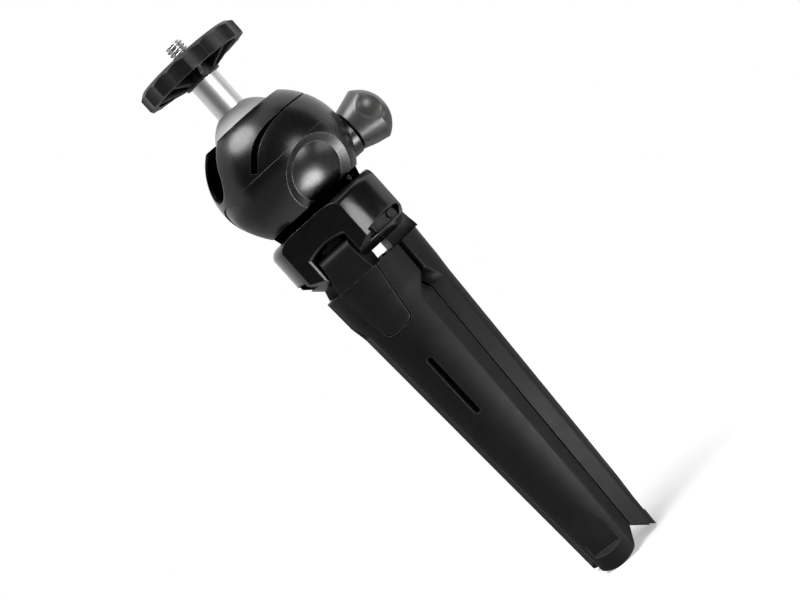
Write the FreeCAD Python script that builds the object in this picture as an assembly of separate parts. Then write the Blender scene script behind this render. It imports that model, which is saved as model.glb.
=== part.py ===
"""Mini tripod with a ball head, legs folded: builds every piece in millimetres and writes one STEP file each.

Frame: +Z up, Z = 0 at the soles of the folded legs, and the Z axis is the tripod's centre line.
An azimuth turns about +Z from the -Y direction, so azimuth 0 is the front leg. In a leg's own
directions t runs along +X, s runs outward along -Y and z runs up.
"""

import FreeCAD, Part
import math
import os

# Driving dimensions, millimetres. Heights are stacked: each one starts from the piece below it.

# Directions of the head's features, degrees of azimuth.
LEG_AZIMUTHS = (0.0, 120.0, 240.0)
NOTCH_AZIMUTH = -45.0
ARCH_AZIMUTHS = (45.0, 225.0)
KNOB_AZIMUTH = 125.0
SET_SCREW_AZIMUTH = 71.0
HOUSING_SCREW_AZIMUTHS = (5.0, 85.0, 165.0, 265.0)

# Clearances between pieces.
RUNNING_GAP = 0.05
FREE_GAP = 0.3
THREAD_GAP = 0.1

# Reach of cutting tools past everything that they cut.
BELOW_ALL = -20.0
ABOVE_ALL = 260.0
OUTSIDE = 60.0
PAST = 1.0

# Hub that holds the three legs.
HUB_BOTTOM_Z = 127.5
HUB_HEIGHT = 20.2
HUB_TOP_Z = HUB_BOTTOM_Z + HUB_HEIGHT
HUB_BEVEL_HEIGHT = 4.8
HUB_BEVEL_Z = HUB_BOTTOM_Z + HUB_BEVEL_HEIGHT
HUB_R = 22.2
HUB_BEVEL_WIDTH = 5.3
HUB_BOTTOM_R = HUB_R - HUB_BEVEL_WIDTH
HUB_CROWN_HEIGHT = 2.6
HUB_CROWN_WIDTH = 4.4
HUB_FLAT_DEPTH = 4.0
HUB_FLAT_S = HUB_R - HUB_FLAT_DEPTH

# Hinges: the knuckle stands flush with the hub's flat.
KNUCKLE_R = 4.2
PIN_S = HUB_FLAT_S - KNUCKLE_R
PIN_RISE = 4.6
PIN_Z = HUB_BOTTOM_Z + PIN_RISE
PIN_R = 1.25
PIN_HEAD_R = 1.45
PIN_HEAD_LENGTH = 1.2
ARM_BACK_DEPTH = 5.6
ARM_BACK_S = PIN_S - ARM_BACK_DEPTH
STOP_EAR_HALF_WIDTH = 4.0

# Notches and pockets in the hub.
NOTCH_HALF_WIDTH = 7.2
NOTCH_BACK_GAP = 0.5
NOTCH_BACK_S = ARM_BACK_S - NOTCH_BACK_GAP
NOTCH_SIDE_GAP = 1.1
NOTCH_SIDE_Z = PIN_Z + KNUCKLE_R + NOTCH_SIDE_GAP
NOTCH_ARCH_RISE = 1.2
NOTCH_CROWN_Z = NOTCH_SIDE_Z + NOTCH_ARCH_RISE
NOTCH_CHAMFER = 0.6
CHEEK_THICKNESS = 4.3
CHEEK_T = NOTCH_HALF_WIDTH + CHEEK_THICKNESS
PIN_HEAD_GAP = 0.27
POCKET_HALF_WIDTH = ((PIN_S + PIN_HEAD_R) * math.sin(math.radians(60)) - CHEEK_T * math.cos(math.radians(60))
                     + PIN_HEAD_GAP)
POCKET_FLOOR_DROP = 1.9
POCKET_FLOOR_Z = PIN_Z - POCKET_FLOOR_DROP
POCKET_SIDE_RISE = 1.3
POCKET_SIDE_Z = PIN_Z + POCKET_SIDE_RISE
POCKET_ARCH_RISE = 0.7
POCKET_CROWN_Z = POCKET_SIDE_Z + POCKET_ARCH_RISE

# Leg shells: the lower length tapers, the upper length closes the ring under the hub.
HUB_TO_LEG = 4.0
LEG_TOP_Z = HUB_BOTTOM_Z - HUB_TO_LEG
UPPER_ZONE_HEIGHT = 11.0
UPPER_ZONE_Z = LEG_TOP_Z - UPPER_ZONE_HEIGHT
STEP_HEIGHT = 6.2
LOWER_ZONE_Z = UPPER_ZONE_Z - STEP_HEIGHT
LEG_WALL = 1.8
LEG_PROUD_OF_FLAT = 0.65
UPPER_R_AT_TOP = HUB_FLAT_S + LEG_PROUD_OF_FLAT
LEG_STEP_IN = 0.5
UPPER_R_AT_STEP = UPPER_R_AT_TOP - LEG_STEP_IN
UPPER_SIDE_GAP = 0.9
UPPER_WALL_END_DROP = 2.6
UPPER_WALL_END_R = (ARM_BACK_S - UPPER_WALL_END_DROP) / math.cos(math.radians(60))
LOWER_SIDE_GAP = 0.3
LOWER_R_TOP = UPPER_R_AT_STEP - LEG_STEP_IN
LEG_TAPER = 5.0
LOWER_R_SOLE = LOWER_R_TOP - LEG_TAPER
CORNER_ANGLE_TOP = 38.5
CORNER_ANGLE_SOLE = 33.5
VALLEY_DEPTH_TOP = 2.05
VALLEY_R_TOP = LOWER_R_TOP - VALLEY_DEPTH_TOP
VALLEY_DEPTH_SOLE = 3.45
VALLEY_R_SOLE = LOWER_R_SOLE - VALLEY_DEPTH_SOLE
LOWER_CORNER_R = 2.0
UPPER_CORNER_R = 0.8
SLOT_HALF_WIDTH = 1.15
SLOT_LOW_Z = 67.0
SLOT_HIGH_Z = 90.7
RIB_HEIGHTS = (26.0, 44.0, 60.0, 96.0)
RIB_THICKNESS = 1.2

# Hinge arm's tongue, let into the leg, and the screws that hold the leg on the arm.
ARM_HALF_WIDTH = NOTCH_HALF_WIDTH - FREE_GAP
ARM_CORE_HALF_WIDTH = 4.2
ARM_WAIST_HALF_WIDTH = 6.6
ARM_FACE_HALF_WIDTH = 5.0
ARM_FACE_TOP_HALF_WIDTH = 4.6
TONGUE_TOP_HALF_WIDTH = 8.0
TONGUE_TIP_HALF_WIDTH = 5.1
TONGUE_LENGTH = 20.0
TONGUE_TIP_Z = LEG_TOP_Z - TONGUE_LENGTH
TONGUE_CORNER_R = 1.9
TONGUE_GAP = 0.35
LEG_SCREW_DROP = 3.4
LEG_SCREW_PITCH = 5.0
LEG_SCREW_HEIGHTS = (LEG_TOP_Z - LEG_SCREW_DROP - LEG_SCREW_PITCH, LEG_TOP_Z - LEG_SCREW_DROP)
LEG_SCREW_R = 1.1
LEG_SCREW_HEAD_R = 2.2
LEG_SCREW_HEAD = 1.2

# Foot: a thumb recess on the outer face and a slanted cut that lies flat when the leg is open.
FOOT_CUT_ANGLE = 42.0
FOOT_RECESS_HALF_WIDTH = 5.2
FOOT_RECESS_TOP_Z = 25.2
FOOT_LEDGE_Z = 7.1
FOOT_LEDGE_LIP = 1.4
FOOT_RECESS_DEPTH = 1.5
FOOT_PAD_TOP_Z = 9.0
FOOT_PAD_STAND_OUT = 0.7

# Ball head housing, a sphere cut flat at both ends and split at the seam. It stands on the neck ring.
NECK_HEIGHT = 2.9
HOUSING_BOTTOM_Z = HUB_TOP_Z + NECK_HEIGHT
HOUSING_R = 24.2
HOUSING_DEPTH = 16.0
HOUSING_Z = HOUSING_BOTTOM_Z + HOUSING_DEPTH
SEAM_RISE = 1.4
SEAM_Z = HOUSING_Z + SEAM_RISE
OPENING_RISE = 18.5
HOUSING_TOP_Z = HOUSING_Z + OPENING_RISE
FLOOR_THICKNESS = 3.0
FLOOR_Z = HOUSING_BOTTOM_Z + FLOOR_THICKNESS
ARCH_TILT = 27.5
ARCH_R = 12.1
ARCH_FLOOR_R = 9.3
ARCH_DEPTH = 2.3
ARCH_DOME_R = HOUSING_R - ARCH_DEPTH
CREASE_DEPTH = 0.35
SWOOSH_TOP = 12.0
SWOOSH_LINE_R = 0.36

# Neck ring under the housing's bottom face, with its grub screw.
NECK_INSET = 6.6
NECK_TOP_R = HOUSING_R - NECK_INSET
NECK_FLARE = 0.8
NECK_BOTTOM_R = NECK_TOP_R - NECK_FLARE
SET_SCREW_R = 0.9
SET_SCREW_LENGTH = 6.0

# Ball and stem.
BALL_RISE = 11.4
BALL_Z = HOUSING_Z + BALL_RISE
SHELL_WALL = 10.6
BALL_R = HOUSING_R - SHELL_WALL - FREE_GAP
BALL_FLAT_DEPTH = 1.2
BALL_FLAT_Z = BALL_Z + BALL_R - BALL_FLAT_DEPTH
STEM_R = 5.2
STEM_LENGTH = 12.8
STEM_TOP_Z = BALL_FLAT_Z + STEM_LENGTH
SPIGOT_R = 4.0
SPIGOT_LENGTH = 7.5

# Portrait notch that the stem drops into.
STEM_TO_SLOT = 0.6
NOTCH_SLOT_HALF_WIDTH = STEM_R + STEM_TO_SLOT
NOTCH_SLOT_DROP = 2.0
NOTCH_SLOT_Z = BALL_Z - NOTCH_SLOT_DROP
NOTCH_LIP = 1.2

# Locking disc and its rubber pad.
DISC_BOSS_Z = STEM_TOP_Z + FREE_GAP
DISC_HEIGHT = 9.1
DISC_TOP_Z = DISC_BOSS_Z + DISC_HEIGHT
DISC_RIM_HEIGHT = 6.2
DISC_RIM_Z = DISC_TOP_Z - DISC_RIM_HEIGHT
DISC_R = 19.7
DISC_BEVEL_WIDTH = 1.9
DISC_BEVEL_HEIGHT = 1.5
DISC_PLATE = 2.4
DISC_RIM_WALL = 3.4
DISC_RIM_INNER_R = DISC_R - DISC_RIM_WALL
DISC_BOSS_R = 6.6
SCALLOP_COUNT = 18
SCALLOP_DEPTH = 0.85
DISC_RIB_COUNT = 9
DISC_RIB_THICKNESS = 1.3
DISC_RIB_START = 28.0
PAD_MARGIN = 3.1
PAD_R = DISC_R - PAD_MARGIN
PAD_HOLE_R = 6.0
PAD_THICKNESS = 0.8
PAD_STAND_OUT = 0.1
PAD_TOP_Z = DISC_TOP_Z + PAD_STAND_OUT

# Camera stud, 1/4 inch with 20 threads to the inch; the thread itself is left to the visual model.
STUD_R = 3.175
STUD_CORE_R = 2.6
STUD_DEPTH = 8.0
STUD_BOTTOM_Z = STEM_TOP_Z - STUD_DEPTH
STUD_STAND_OUT = 5.8
STUD_TIP_Z = PAD_TOP_Z + STUD_STAND_OUT
STUD_CHAMFER = 0.7

# Lock: a pointed screw that wedges the pressure cup up against the ball.
LOCK_DROP = 6.5
LOCK_Z = HOUSING_Z - LOCK_DROP
LOCK_SCREW_R = 2.2
LOCK_TIP_S = 1.6
LOCK_TIP_R = 0.4
LOCK_CONE_LENGTH = 4.9
KNOB_BASE_R = 7.3
BOSS_R = KNOB_BASE_R + FREE_GAP
BOSS_INSET = 0.7
BOSS_FACE_S = HOUSING_R - BOSS_INSET
COLLAR_THICKNESS = 0.7
COLLAR_FACE_S = BOSS_FACE_S + COLLAR_THICKNESS
COLLAR_STEP = 0.4
COLLAR_R = KNOB_BASE_R - COLLAR_STEP
KNOB_BASE_S = COLLAR_FACE_S + FREE_GAP
KNOB_R = 10.2
KNOB_WIDEST = 8.0
KNOB_LENGTH = 14.9
DIMPLE_R = 7.5
DIMPLE_ALONG = 8.6
DIMPLE_STAND_OUT = 4.7
DIMPLE_OUT = KNOB_R + DIMPLE_STAND_OUT
LOCK_SCREW_IN_KNOB = 8.5
LOCK_SCREW_END_S = KNOB_BASE_S + LOCK_SCREW_IN_KNOB
CUP_INSET = 4.3
CUP_R = BALL_R - CUP_INSET
CUP_TRAVEL = 1.3
CUP_BOTTOM_Z = FLOOR_Z + CUP_TRAVEL
CUP_TOP_GAP = 0.8
CUP_TOP_Z = SEAM_Z - CUP_TOP_GAP

# Base bolt and housing screws.
BOLT_R = 2.5
BOLT_HEAD_R = 5.0
BOLT_HEAD_INSET = 1.2
BOLT_HEAD_LOW_Z = HUB_BOTTOM_Z + BOLT_HEAD_INSET
BOLT_HEAD_HEIGHT = 3.8
BOLT_HEAD_HIGH_Z = BOLT_HEAD_LOW_Z + BOLT_HEAD_HEIGHT
BOLT_SOCKET_R = 2.9
BOLT_SOCKET_DEPTH = 2.4
HOUSING_SCREW_INSET = 1.9
HOUSING_SCREW_RADIUS = NECK_TOP_R - HOUSING_SCREW_INSET
HOUSING_SCREW_R = 1.0
HOUSING_SCREW_HEAD_R = 2.0
HOUSING_SCREW_SINK = 0.4
HOUSING_SCREW_HEAD_Z = HOUSING_BOTTOM_Z + HOUSING_SCREW_SINK
HOUSING_SCREW_HEAD_HEIGHT = 1.4
HOUSING_SCREW_SEAT_Z = HOUSING_SCREW_HEAD_Z + HOUSING_SCREW_HEAD_HEIGHT
HOUSING_SCREW_GRIP = 6.0
HOUSING_SCREW_TIP_Z = SEAM_Z + HOUSING_SCREW_GRIP

Z_AXIS = FreeCAD.Vector(0, 0, 1)
ORIGIN = FreeCAD.Vector(0, 0, 0)


# Helpers.
def vec(t, s, z):
    """Point from a leg's own directions at azimuth 0: t sideways, s outward, z up."""
    return FreeCAD.Vector(t, -s, z)


def turned(shape, azimuth):
    """Copy of a shape built at azimuth 0, turned about the centre line."""
    copy = shape.copy()
    copy.rotate(ORIGIN, Z_AXIS, azimuth)
    return copy


def wire_through(points):
    """Closed straight-sided wire."""
    return Part.makePolygon(list(points) + [points[0]])


def side_prism(profile, half_width):
    """Prism from an (s, z) outline, as wide as 2 * half_width along t."""
    face = Part.Face(wire_through([vec(-half_width, s, z) for s, z in profile]))
    return face.extrude(FreeCAD.Vector(2 * half_width, 0, 0))


def front_prism(profile, s_near, s_far):
    """Prism from a (t, z) outline, running outward from s_near to s_far."""
    face = Part.Face(wire_through([vec(t, s_near, z) for t, z in profile]))
    return face.extrude(vec(0, s_far - s_near, 0))


def arched_wire(half_width, low_z, side_z, crown_z, s):
    """Upright outline with a shallow arch on top, in the plane at distance s."""
    left = vec(-half_width, s, side_z)
    right = vec(half_width, s, side_z)
    edges = [
        Part.makeLine(vec(-half_width, s, low_z), vec(half_width, s, low_z)),
        Part.makeLine(vec(half_width, s, low_z), right),
        Part.Arc(right, vec(0, s, crown_z), left).toShape(),
        Part.makeLine(left, vec(-half_width, s, low_z)),
    ]
    return Part.Wire(edges)


def arched_prism(half_width, low_z, side_z, crown_z, s_near, s_far):
    """Upright prism with an arched top, running outward."""
    face = Part.Face(arched_wire(half_width, low_z, side_z, crown_z, s_near))
    return face.extrude(vec(0, s_far - s_near, 0))


def radial_cylinder(radius, s_near, s_far, z, t=0.0):
    """Round bar that runs outward at azimuth 0."""
    return Part.makeCylinder(radius, s_far - s_near, vec(t, s_near, z), vec(0, 1, 0))


def radial_cone(r_near, r_far, s_near, s_far, z):
    """Cone that runs outward at azimuth 0."""
    return Part.makeCone(r_near, r_far, s_far - s_near, vec(0, s_near, z), vec(0, 1, 0))


def cross_cylinder(radius, t_near, t_far, s, z):
    """Round bar that runs sideways at azimuth 0."""
    return Part.makeCylinder(radius, t_far - t_near, vec(t_near, s, z), FreeCAD.Vector(1, 0, 0))


def upright_cylinder(radius, low_z, high_z, t=0.0, s=0.0):
    """Round bar along Z."""
    return Part.makeCylinder(radius, high_z - low_z, vec(t, s, low_z), Z_AXIS)


def slab(low_z, high_z, half_size=OUTSIDE):
    """Wide flat block between two heights, used to keep what lies between them."""
    return Part.makeBox(2 * half_size, 2 * half_size, high_z - low_z,
                        FreeCAD.Vector(-half_size, -half_size, low_z))


def sphere(radius, centre_z):
    """Whole sphere on the centre line."""
    return Part.makeSphere(radius, FreeCAD.Vector(0, 0, centre_z), Z_AXIS, -90, 90, 360)


def mix(low_value, high_value, low_z, high_z, z):
    """Straight-line value between two heights."""
    share = (z - low_z) / (high_z - low_z)
    return low_value + (high_value - low_value) * share


def interpolated_edge(points):
    """Smooth edge through points."""
    curve = Part.BSplineCurve()
    curve.interpolate(points)
    return curve.toShape()


# Hub and pins.
def hub_blank():
    """Turned body of the hub: a bevel below, a rounded crown above."""
    crown_low = HUB_TOP_Z - HUB_CROWN_HEIGHT
    crown_in = HUB_R - HUB_CROWN_WIDTH
    start = FreeCAD.Vector(HUB_R, 0, crown_low)
    middle = FreeCAD.Vector(HUB_R - 0.26 * HUB_CROWN_WIDTH, 0, HUB_TOP_Z - 0.29 * HUB_CROWN_HEIGHT)
    end = FreeCAD.Vector(crown_in, 0, HUB_TOP_Z)
    foot = FreeCAD.Vector(HUB_BOTTOM_R, 0, HUB_BOTTOM_Z)
    bevel = FreeCAD.Vector(HUB_R, 0, HUB_BEVEL_Z)
    low_centre = FreeCAD.Vector(0, 0, HUB_BOTTOM_Z)
    high_centre = FreeCAD.Vector(0, 0, HUB_TOP_Z)
    edges = [
        Part.makeLine(low_centre, foot),
        Part.makeLine(foot, bevel),
        Part.makeLine(bevel, start),
        Part.Arc(start, middle, end).toShape(),
        Part.makeLine(end, high_centre),
        Part.makeLine(high_centre, low_centre),
    ]
    return Part.Face(Part.Wire(edges)).revolve(ORIGIN, Z_AXIS, 360)


def hub_notch_tool():
    """Arched notch for a hinge arm, with a bevelled mouth on the flat."""
    below = HUB_BOTTOM_Z - 2 * PAST
    notch = arched_prism(NOTCH_HALF_WIDTH, below, NOTCH_SIDE_Z, NOTCH_CROWN_Z, NOTCH_BACK_S, HUB_R + PAST)
    inner = arched_wire(NOTCH_HALF_WIDTH, below, NOTCH_SIDE_Z, NOTCH_CROWN_Z, HUB_FLAT_S - NOTCH_CHAMFER)
    wide = NOTCH_CHAMFER + 0.1
    outer = arched_wire(NOTCH_HALF_WIDTH + wide, below, NOTCH_SIDE_Z + wide, NOTCH_CROWN_Z + wide,
                        HUB_FLAT_S + 0.1)
    mouth = Part.makeLoft([inner, outer], True, True)
    return notch.fuse(mouth)


def hub_pocket_tool():
    """Arched pocket in a lobe, between two cheeks, where the pin heads show. Built at azimuth 0."""
    tip = CHEEK_T / math.sin(math.radians(60))
    side_s = tip + POCKET_HALF_WIDTH * math.tan(math.radians(30))
    outline = [(0, tip), (POCKET_HALF_WIDTH, side_s), (POCKET_HALF_WIDTH, OUTSIDE),
               (-POCKET_HALF_WIDTH, OUTSIDE), (-POCKET_HALF_WIDTH, side_s)]
    face = Part.Face(wire_through([vec(t, s, POCKET_FLOOR_Z) for t, s in outline]))
    wedge = face.extrude(FreeCAD.Vector(0, 0, POCKET_CROWN_Z - POCKET_FLOOR_Z + PAST))
    arch = arched_prism(POCKET_HALF_WIDTH + RUNNING_GAP, POCKET_FLOOR_Z - PAST, POCKET_SIDE_Z, POCKET_CROWN_Z,
                        0, OUTSIDE + PAST)
    return wedge.common(arch)


def leg_hub():
    """Black hub: three flats with a notch each, three lobes with a pocket each."""
    body = hub_blank()
    tools = []
    for azimuth in LEG_AZIMUTHS:
        flat = Part.makeBox(2 * OUTSIDE, OUTSIDE, HUB_TOP_Z - HUB_BOTTOM_Z + 2 * PAST,
                            vec(-OUTSIDE, HUB_FLAT_S + OUTSIDE, HUB_BOTTOM_Z - PAST))
        tools.append(turned(flat, azimuth))
        tools.append(turned(hub_notch_tool(), azimuth))
        tools.append(turned(hub_pocket_tool(), azimuth + 60))
        tools.append(turned(cross_cylinder(PIN_R, -CHEEK_T - PAST, CHEEK_T + PAST, PIN_S, PIN_Z), azimuth))
    tools.append(upright_cylinder(BOLT_R + 2 * THREAD_GAP, BELOW_ALL, ABOVE_ALL))
    tools.append(upright_cylinder(BOLT_HEAD_R + FREE_GAP, BELOW_ALL, BOLT_HEAD_HIGH_Z))
    for tool in tools:
        body = body.cut(tool)
    return body


def hinge_pin():
    """Steel pin across a notch, with a flat head in the pocket at each end."""
    pin = cross_cylinder(PIN_R, -CHEEK_T, CHEEK_T, PIN_S, PIN_Z)
    pin = pin.fuse(cross_cylinder(PIN_HEAD_R, CHEEK_T, CHEEK_T + PIN_HEAD_LENGTH, PIN_S, PIN_Z))
    pin = pin.fuse(cross_cylinder(PIN_HEAD_R, -CHEEK_T - PIN_HEAD_LENGTH, -CHEEK_T, PIN_S, PIN_Z))
    return pin.removeSplitter()


# Legs.
def corner_fillet(radius, r_outer, corner, inward_normal):
    """Tangent points and middle of the round between an arc about the centre line and a flank.

    The flank passes through corner with the given inward normal. Returns three (t, s) points.
    """
    centre_r = r_outer - radius
    base = (corner[0] + radius * inward_normal[0], corner[1] + radius * inward_normal[1])
    along = (-inward_normal[1], inward_normal[0])
    dot = base[0] * along[0] + base[1] * along[1]
    square = base[0] ** 2 + base[1] ** 2 - centre_r ** 2
    root = math.sqrt(dot * dot - square)
    candidates = [-dot + root, -dot - root]
    reach = min(candidates, key=abs)
    centre = (base[0] + reach * along[0], base[1] + reach * along[1])
    scale = r_outer / centre_r
    on_arc = (centre[0] * scale, centre[1] * scale)
    on_flank = (centre[0] - radius * inward_normal[0], centre[1] - radius * inward_normal[1])
    bisector = (on_arc[0] + on_flank[0] - 2 * centre[0], on_arc[1] + on_flank[1] - 2 * centre[1])
    size = math.hypot(*bisector)
    middle = (centre[0] + radius * bisector[0] / size, centre[1] + radius * bisector[1] / size)
    return on_arc, middle, on_flank


def leg_half_outline(r_outer, corner_angle, end_r, side_gap, corner_r, wall):
    """Key (t, s) points of half a leg's cross-section, from the outer crown to the wall's inner crown."""
    end_angle = math.radians(60) - math.asin(side_gap / end_r)
    corner = (r_outer * math.sin(corner_angle), r_outer * math.cos(corner_angle))
    end = (end_r * math.sin(end_angle), end_r * math.cos(end_angle))
    run = (end[0] - corner[0], end[1] - corner[1])
    length = math.hypot(*run)
    normal = (run[1] / length, -run[0] / length)
    if normal[0] > 0:
        normal = (-normal[0], -normal[1])
    on_arc, middle, on_flank = corner_fillet(corner_r, r_outer, corner, normal)
    inner_corner = (corner[0] + wall * normal[0], corner[1] + wall * normal[1])
    inner_arc, inner_middle, inner_flank = corner_fillet(
        max(corner_r - wall, 0.3), r_outer - wall, inner_corner, normal)
    inner_end = (end[0] + wall * normal[0], end[1] + wall * normal[1])
    return on_arc, middle, on_flank, end, inner_end, inner_flank, inner_middle, inner_arc


def leg_section(z, **sizes):
    """Channel-shaped wire of a leg's wall at height z."""
    half = leg_half_outline(**sizes)
    on_arc, middle, on_flank, end, inner_end, inner_flank, inner_middle, inner_arc = half

    def point(pair, side):
        return vec(side * pair[0], pair[1], z)

    r_outer = sizes["r_outer"]
    r_inner = r_outer - sizes["wall"]
    edges = [Part.Arc(point(on_arc, -1), vec(0, r_outer, z), point(on_arc, 1)).toShape()]
    edges.append(Part.Arc(point(on_arc, 1), point(middle, 1), point(on_flank, 1)).toShape())
    edges.append(Part.makeLine(point(on_flank, 1), point(end, 1)))
    edges.append(Part.makeLine(point(end, 1), point(inner_end, 1)))
    edges.append(Part.makeLine(point(inner_end, 1), point(inner_flank, 1)))
    edges.append(Part.Arc(point(inner_flank, 1), point(inner_middle, 1), point(inner_arc, 1)).toShape())
    edges.append(Part.Arc(point(inner_arc, 1), vec(0, r_inner, z), point(inner_arc, -1)).toShape())
    edges.append(Part.Arc(point(inner_arc, -1), point(inner_middle, -1), point(inner_flank, -1)).toShape())
    edges.append(Part.makeLine(point(inner_flank, -1), point(inner_end, -1)))
    edges.append(Part.makeLine(point(inner_end, -1), point(end, -1)))
    edges.append(Part.makeLine(point(end, -1), point(on_flank, -1)))
    edges.append(Part.Arc(point(on_flank, -1), point(middle, -1), point(on_arc, -1)).toShape())
    return Part.Wire(edges)


def section_sizes(z):
    """Cross-section sizes of a leg at height z."""
    if z >= UPPER_ZONE_Z - 1e-6:
        radius = mix(UPPER_R_AT_STEP, UPPER_R_AT_TOP, UPPER_ZONE_Z, LEG_TOP_Z, z)
        angle = math.radians(60) - math.asin(UPPER_SIDE_GAP / radius)
        return {"r_outer": radius, "corner_angle": angle, "end_r": UPPER_WALL_END_R,
                "side_gap": UPPER_SIDE_GAP, "corner_r": UPPER_CORNER_R, "wall": LEG_WALL}
    return {
        "r_outer": mix(LOWER_R_SOLE, LOWER_R_TOP, 0, LOWER_ZONE_Z, z),
        "corner_angle": math.radians(mix(CORNER_ANGLE_SOLE, CORNER_ANGLE_TOP, 0, LOWER_ZONE_Z, z)),
        "end_r": mix(VALLEY_R_SOLE, VALLEY_R_TOP, 0, LOWER_ZONE_Z, z),
        "side_gap": LOWER_SIDE_GAP, "corner_r": LOWER_CORNER_R, "wall": LEG_WALL}


def leg_walls():
    """Thin channel of a leg over its whole length."""
    heights = (0.0, LOWER_ZONE_Z, UPPER_ZONE_Z, LEG_TOP_Z)
    wires = [leg_section(z, **section_sizes(z)) for z in heights]
    return Part.makeLoft(wires, True, True)


def leg_inside(low_z, high_z, inset):
    """Solid that fills a leg's channel between two heights of the same zone, inset from the outside."""
    wires = []
    for z in (low_z, high_z):
        sizes = section_sizes(z)
        sizes["wall"] = inset
        end, flank, middle, arc = leg_half_outline(**sizes)[4:]
        crown = vec(0, sizes["r_outer"] - inset, z)

        def point(pair, side):
            return vec(side * pair[0], pair[1], z)

        edges = [
            Part.Arc(point(arc, -1), crown, point(arc, 1)).toShape(),
            Part.Arc(point(arc, 1), point(middle, 1), point(flank, 1)).toShape(),
            Part.makeLine(point(flank, 1), point(end, 1)),
            Part.makeLine(point(end, 1), point(end, -1)),
            Part.makeLine(point(end, -1), point(flank, -1)),
            Part.Arc(point(flank, -1), point(middle, -1), point(arc, -1)).toShape(),
        ]
        wires.append(Part.Wire(edges))
    return Part.makeLoft(wires, True, True)


def tongue_outline(gap):
    """(t, z) outline of the arm's visible tongue, grown by gap on its sides and tip."""
    top = TONGUE_TOP_HALF_WIDTH + gap
    tip = TONGUE_TIP_HALF_WIDTH + gap
    tip_z = TONGUE_TIP_Z - gap
    slope = (top - tip) / (LEG_TOP_Z - tip_z)
    corner = TONGUE_CORNER_R
    outline = [(top + slope * PAST, LEG_TOP_Z + PAST)]
    for step in range(5):
        angle = math.radians(90 * step / 4)
        outline.append((tip - corner + corner * math.cos(angle) + slope * corner * (1 - math.sin(angle)),
                        tip_z + corner - corner * math.sin(angle)))
    mirrored = [(-t, z) for t, z in reversed(outline)]
    return outline + mirrored


def tongue_zone(gap):
    """Prism through the outer wall only, with the tongue's outline grown by gap."""
    return front_prism(tongue_outline(gap), LOWER_R_SOLE, OUTSIDE)


def foot_plane_cut(stand_out):
    """Solid below the slanted foot plane, lowered by stand_out. The plane meets Z = 0 at the outer face."""
    slope = math.tan(math.radians(FOOT_CUT_ANGLE))
    inner_z = slope * LOWER_R_SOLE - stand_out
    outer_z = -slope * LOWER_R_SOLE - stand_out
    outline = [(0, inner_z), (2 * LOWER_R_SOLE, outer_z), (2 * LOWER_R_SOLE, BELOW_ALL), (0, BELOW_ALL)]
    return side_prism(outline, OUTSIDE)


def foot_recess_tool():
    """Wedge-shaped thumb recess that deepens towards a sloping ledge."""
    slope = (LOWER_R_TOP - LOWER_R_SOLE) / LOWER_ZONE_Z
    lip_z = FOOT_LEDGE_Z - FOOT_LEDGE_LIP
    outline = [
        (LOWER_R_SOLE + slope * FOOT_RECESS_TOP_Z, FOOT_RECESS_TOP_Z),
        (LOWER_R_SOLE + slope * FOOT_LEDGE_Z - FOOT_RECESS_DEPTH, FOOT_LEDGE_Z),
        (LOWER_R_SOLE + slope * lip_z + 0.02, lip_z),
        (LOWER_R_TOP, lip_z - 2 * PAST),
        (LOWER_R_TOP, FOOT_RECESS_TOP_Z + 2 * PAST),
    ]
    return side_prism(outline, FOOT_RECESS_HALF_WIDTH)


def leg_shell():
    """Moulded leg: channel walls, top wall, bridge behind the arm, cross ribs, slot and foot."""
    shell = leg_walls()
    shell = shell.fuse(leg_inside(LEG_TOP_Z - LEG_WALL, LEG_TOP_Z, LEG_WALL / 2))
    shell = shell.fuse(leg_bridge())
    for height in RIB_HEIGHTS:
        shell = shell.fuse(leg_inside(height, height + RIB_THICKNESS, LEG_WALL / 2))
    tools = [arm_room(), tongue_zone(TONGUE_GAP), slot_tool(), foot_recess_tool(), foot_plane_cut(0.0)]
    for z in LEG_SCREW_HEIGHTS:
        tools.append(radial_cylinder(LEG_SCREW_R + 2 * THREAD_GAP, 0, ARM_BACK_S + PAST, z))
    for tool in tools:
        shell = shell.cut(tool)
    return shell.removeSplitter()


def leg_bridge():
    """Flat wall on the leg's hidden side that the arm is screwed to."""
    box = Part.makeBox(2 * OUTSIDE, LEG_WALL, UPPER_ZONE_HEIGHT, vec(-OUTSIDE, ARM_BACK_S, UPPER_ZONE_Z))
    return box.common(leg_inside(UPPER_ZONE_Z, LEG_TOP_Z, LEG_WALL / 2))


def arm_room():
    """Room for the arm through the leg's top wall, between the bridge and the outer wall."""
    half_width = ARM_HALF_WIDTH + FREE_GAP
    box = Part.makeBox(2 * half_width, OUTSIDE, 2 * LEG_WALL + PAST,
                       vec(-half_width, ARM_BACK_S + OUTSIDE, LEG_TOP_Z - 2 * LEG_WALL))
    inner_r = UPPER_R_AT_STEP - LEG_WALL - RUNNING_GAP
    return box.common(upright_cylinder(inner_r, BELOW_ALL, ABOVE_ALL))


def slot_tool():
    """Narrow slot with round ends through the outer wall, on the leg's centre line."""
    low = SLOT_LOW_Z + SLOT_HALF_WIDTH
    high = SLOT_HIGH_Z - SLOT_HALF_WIDTH
    tool = Part.makeBox(2 * SLOT_HALF_WIDTH, OUTSIDE - VALLEY_R_SOLE, high - low,
                        vec(-SLOT_HALF_WIDTH, OUTSIDE, low))
    for z in (low, high):
        tool = tool.fuse(radial_cylinder(SLOT_HALF_WIDTH, VALLEY_R_SOLE, OUTSIDE, z))
    return tool


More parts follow.
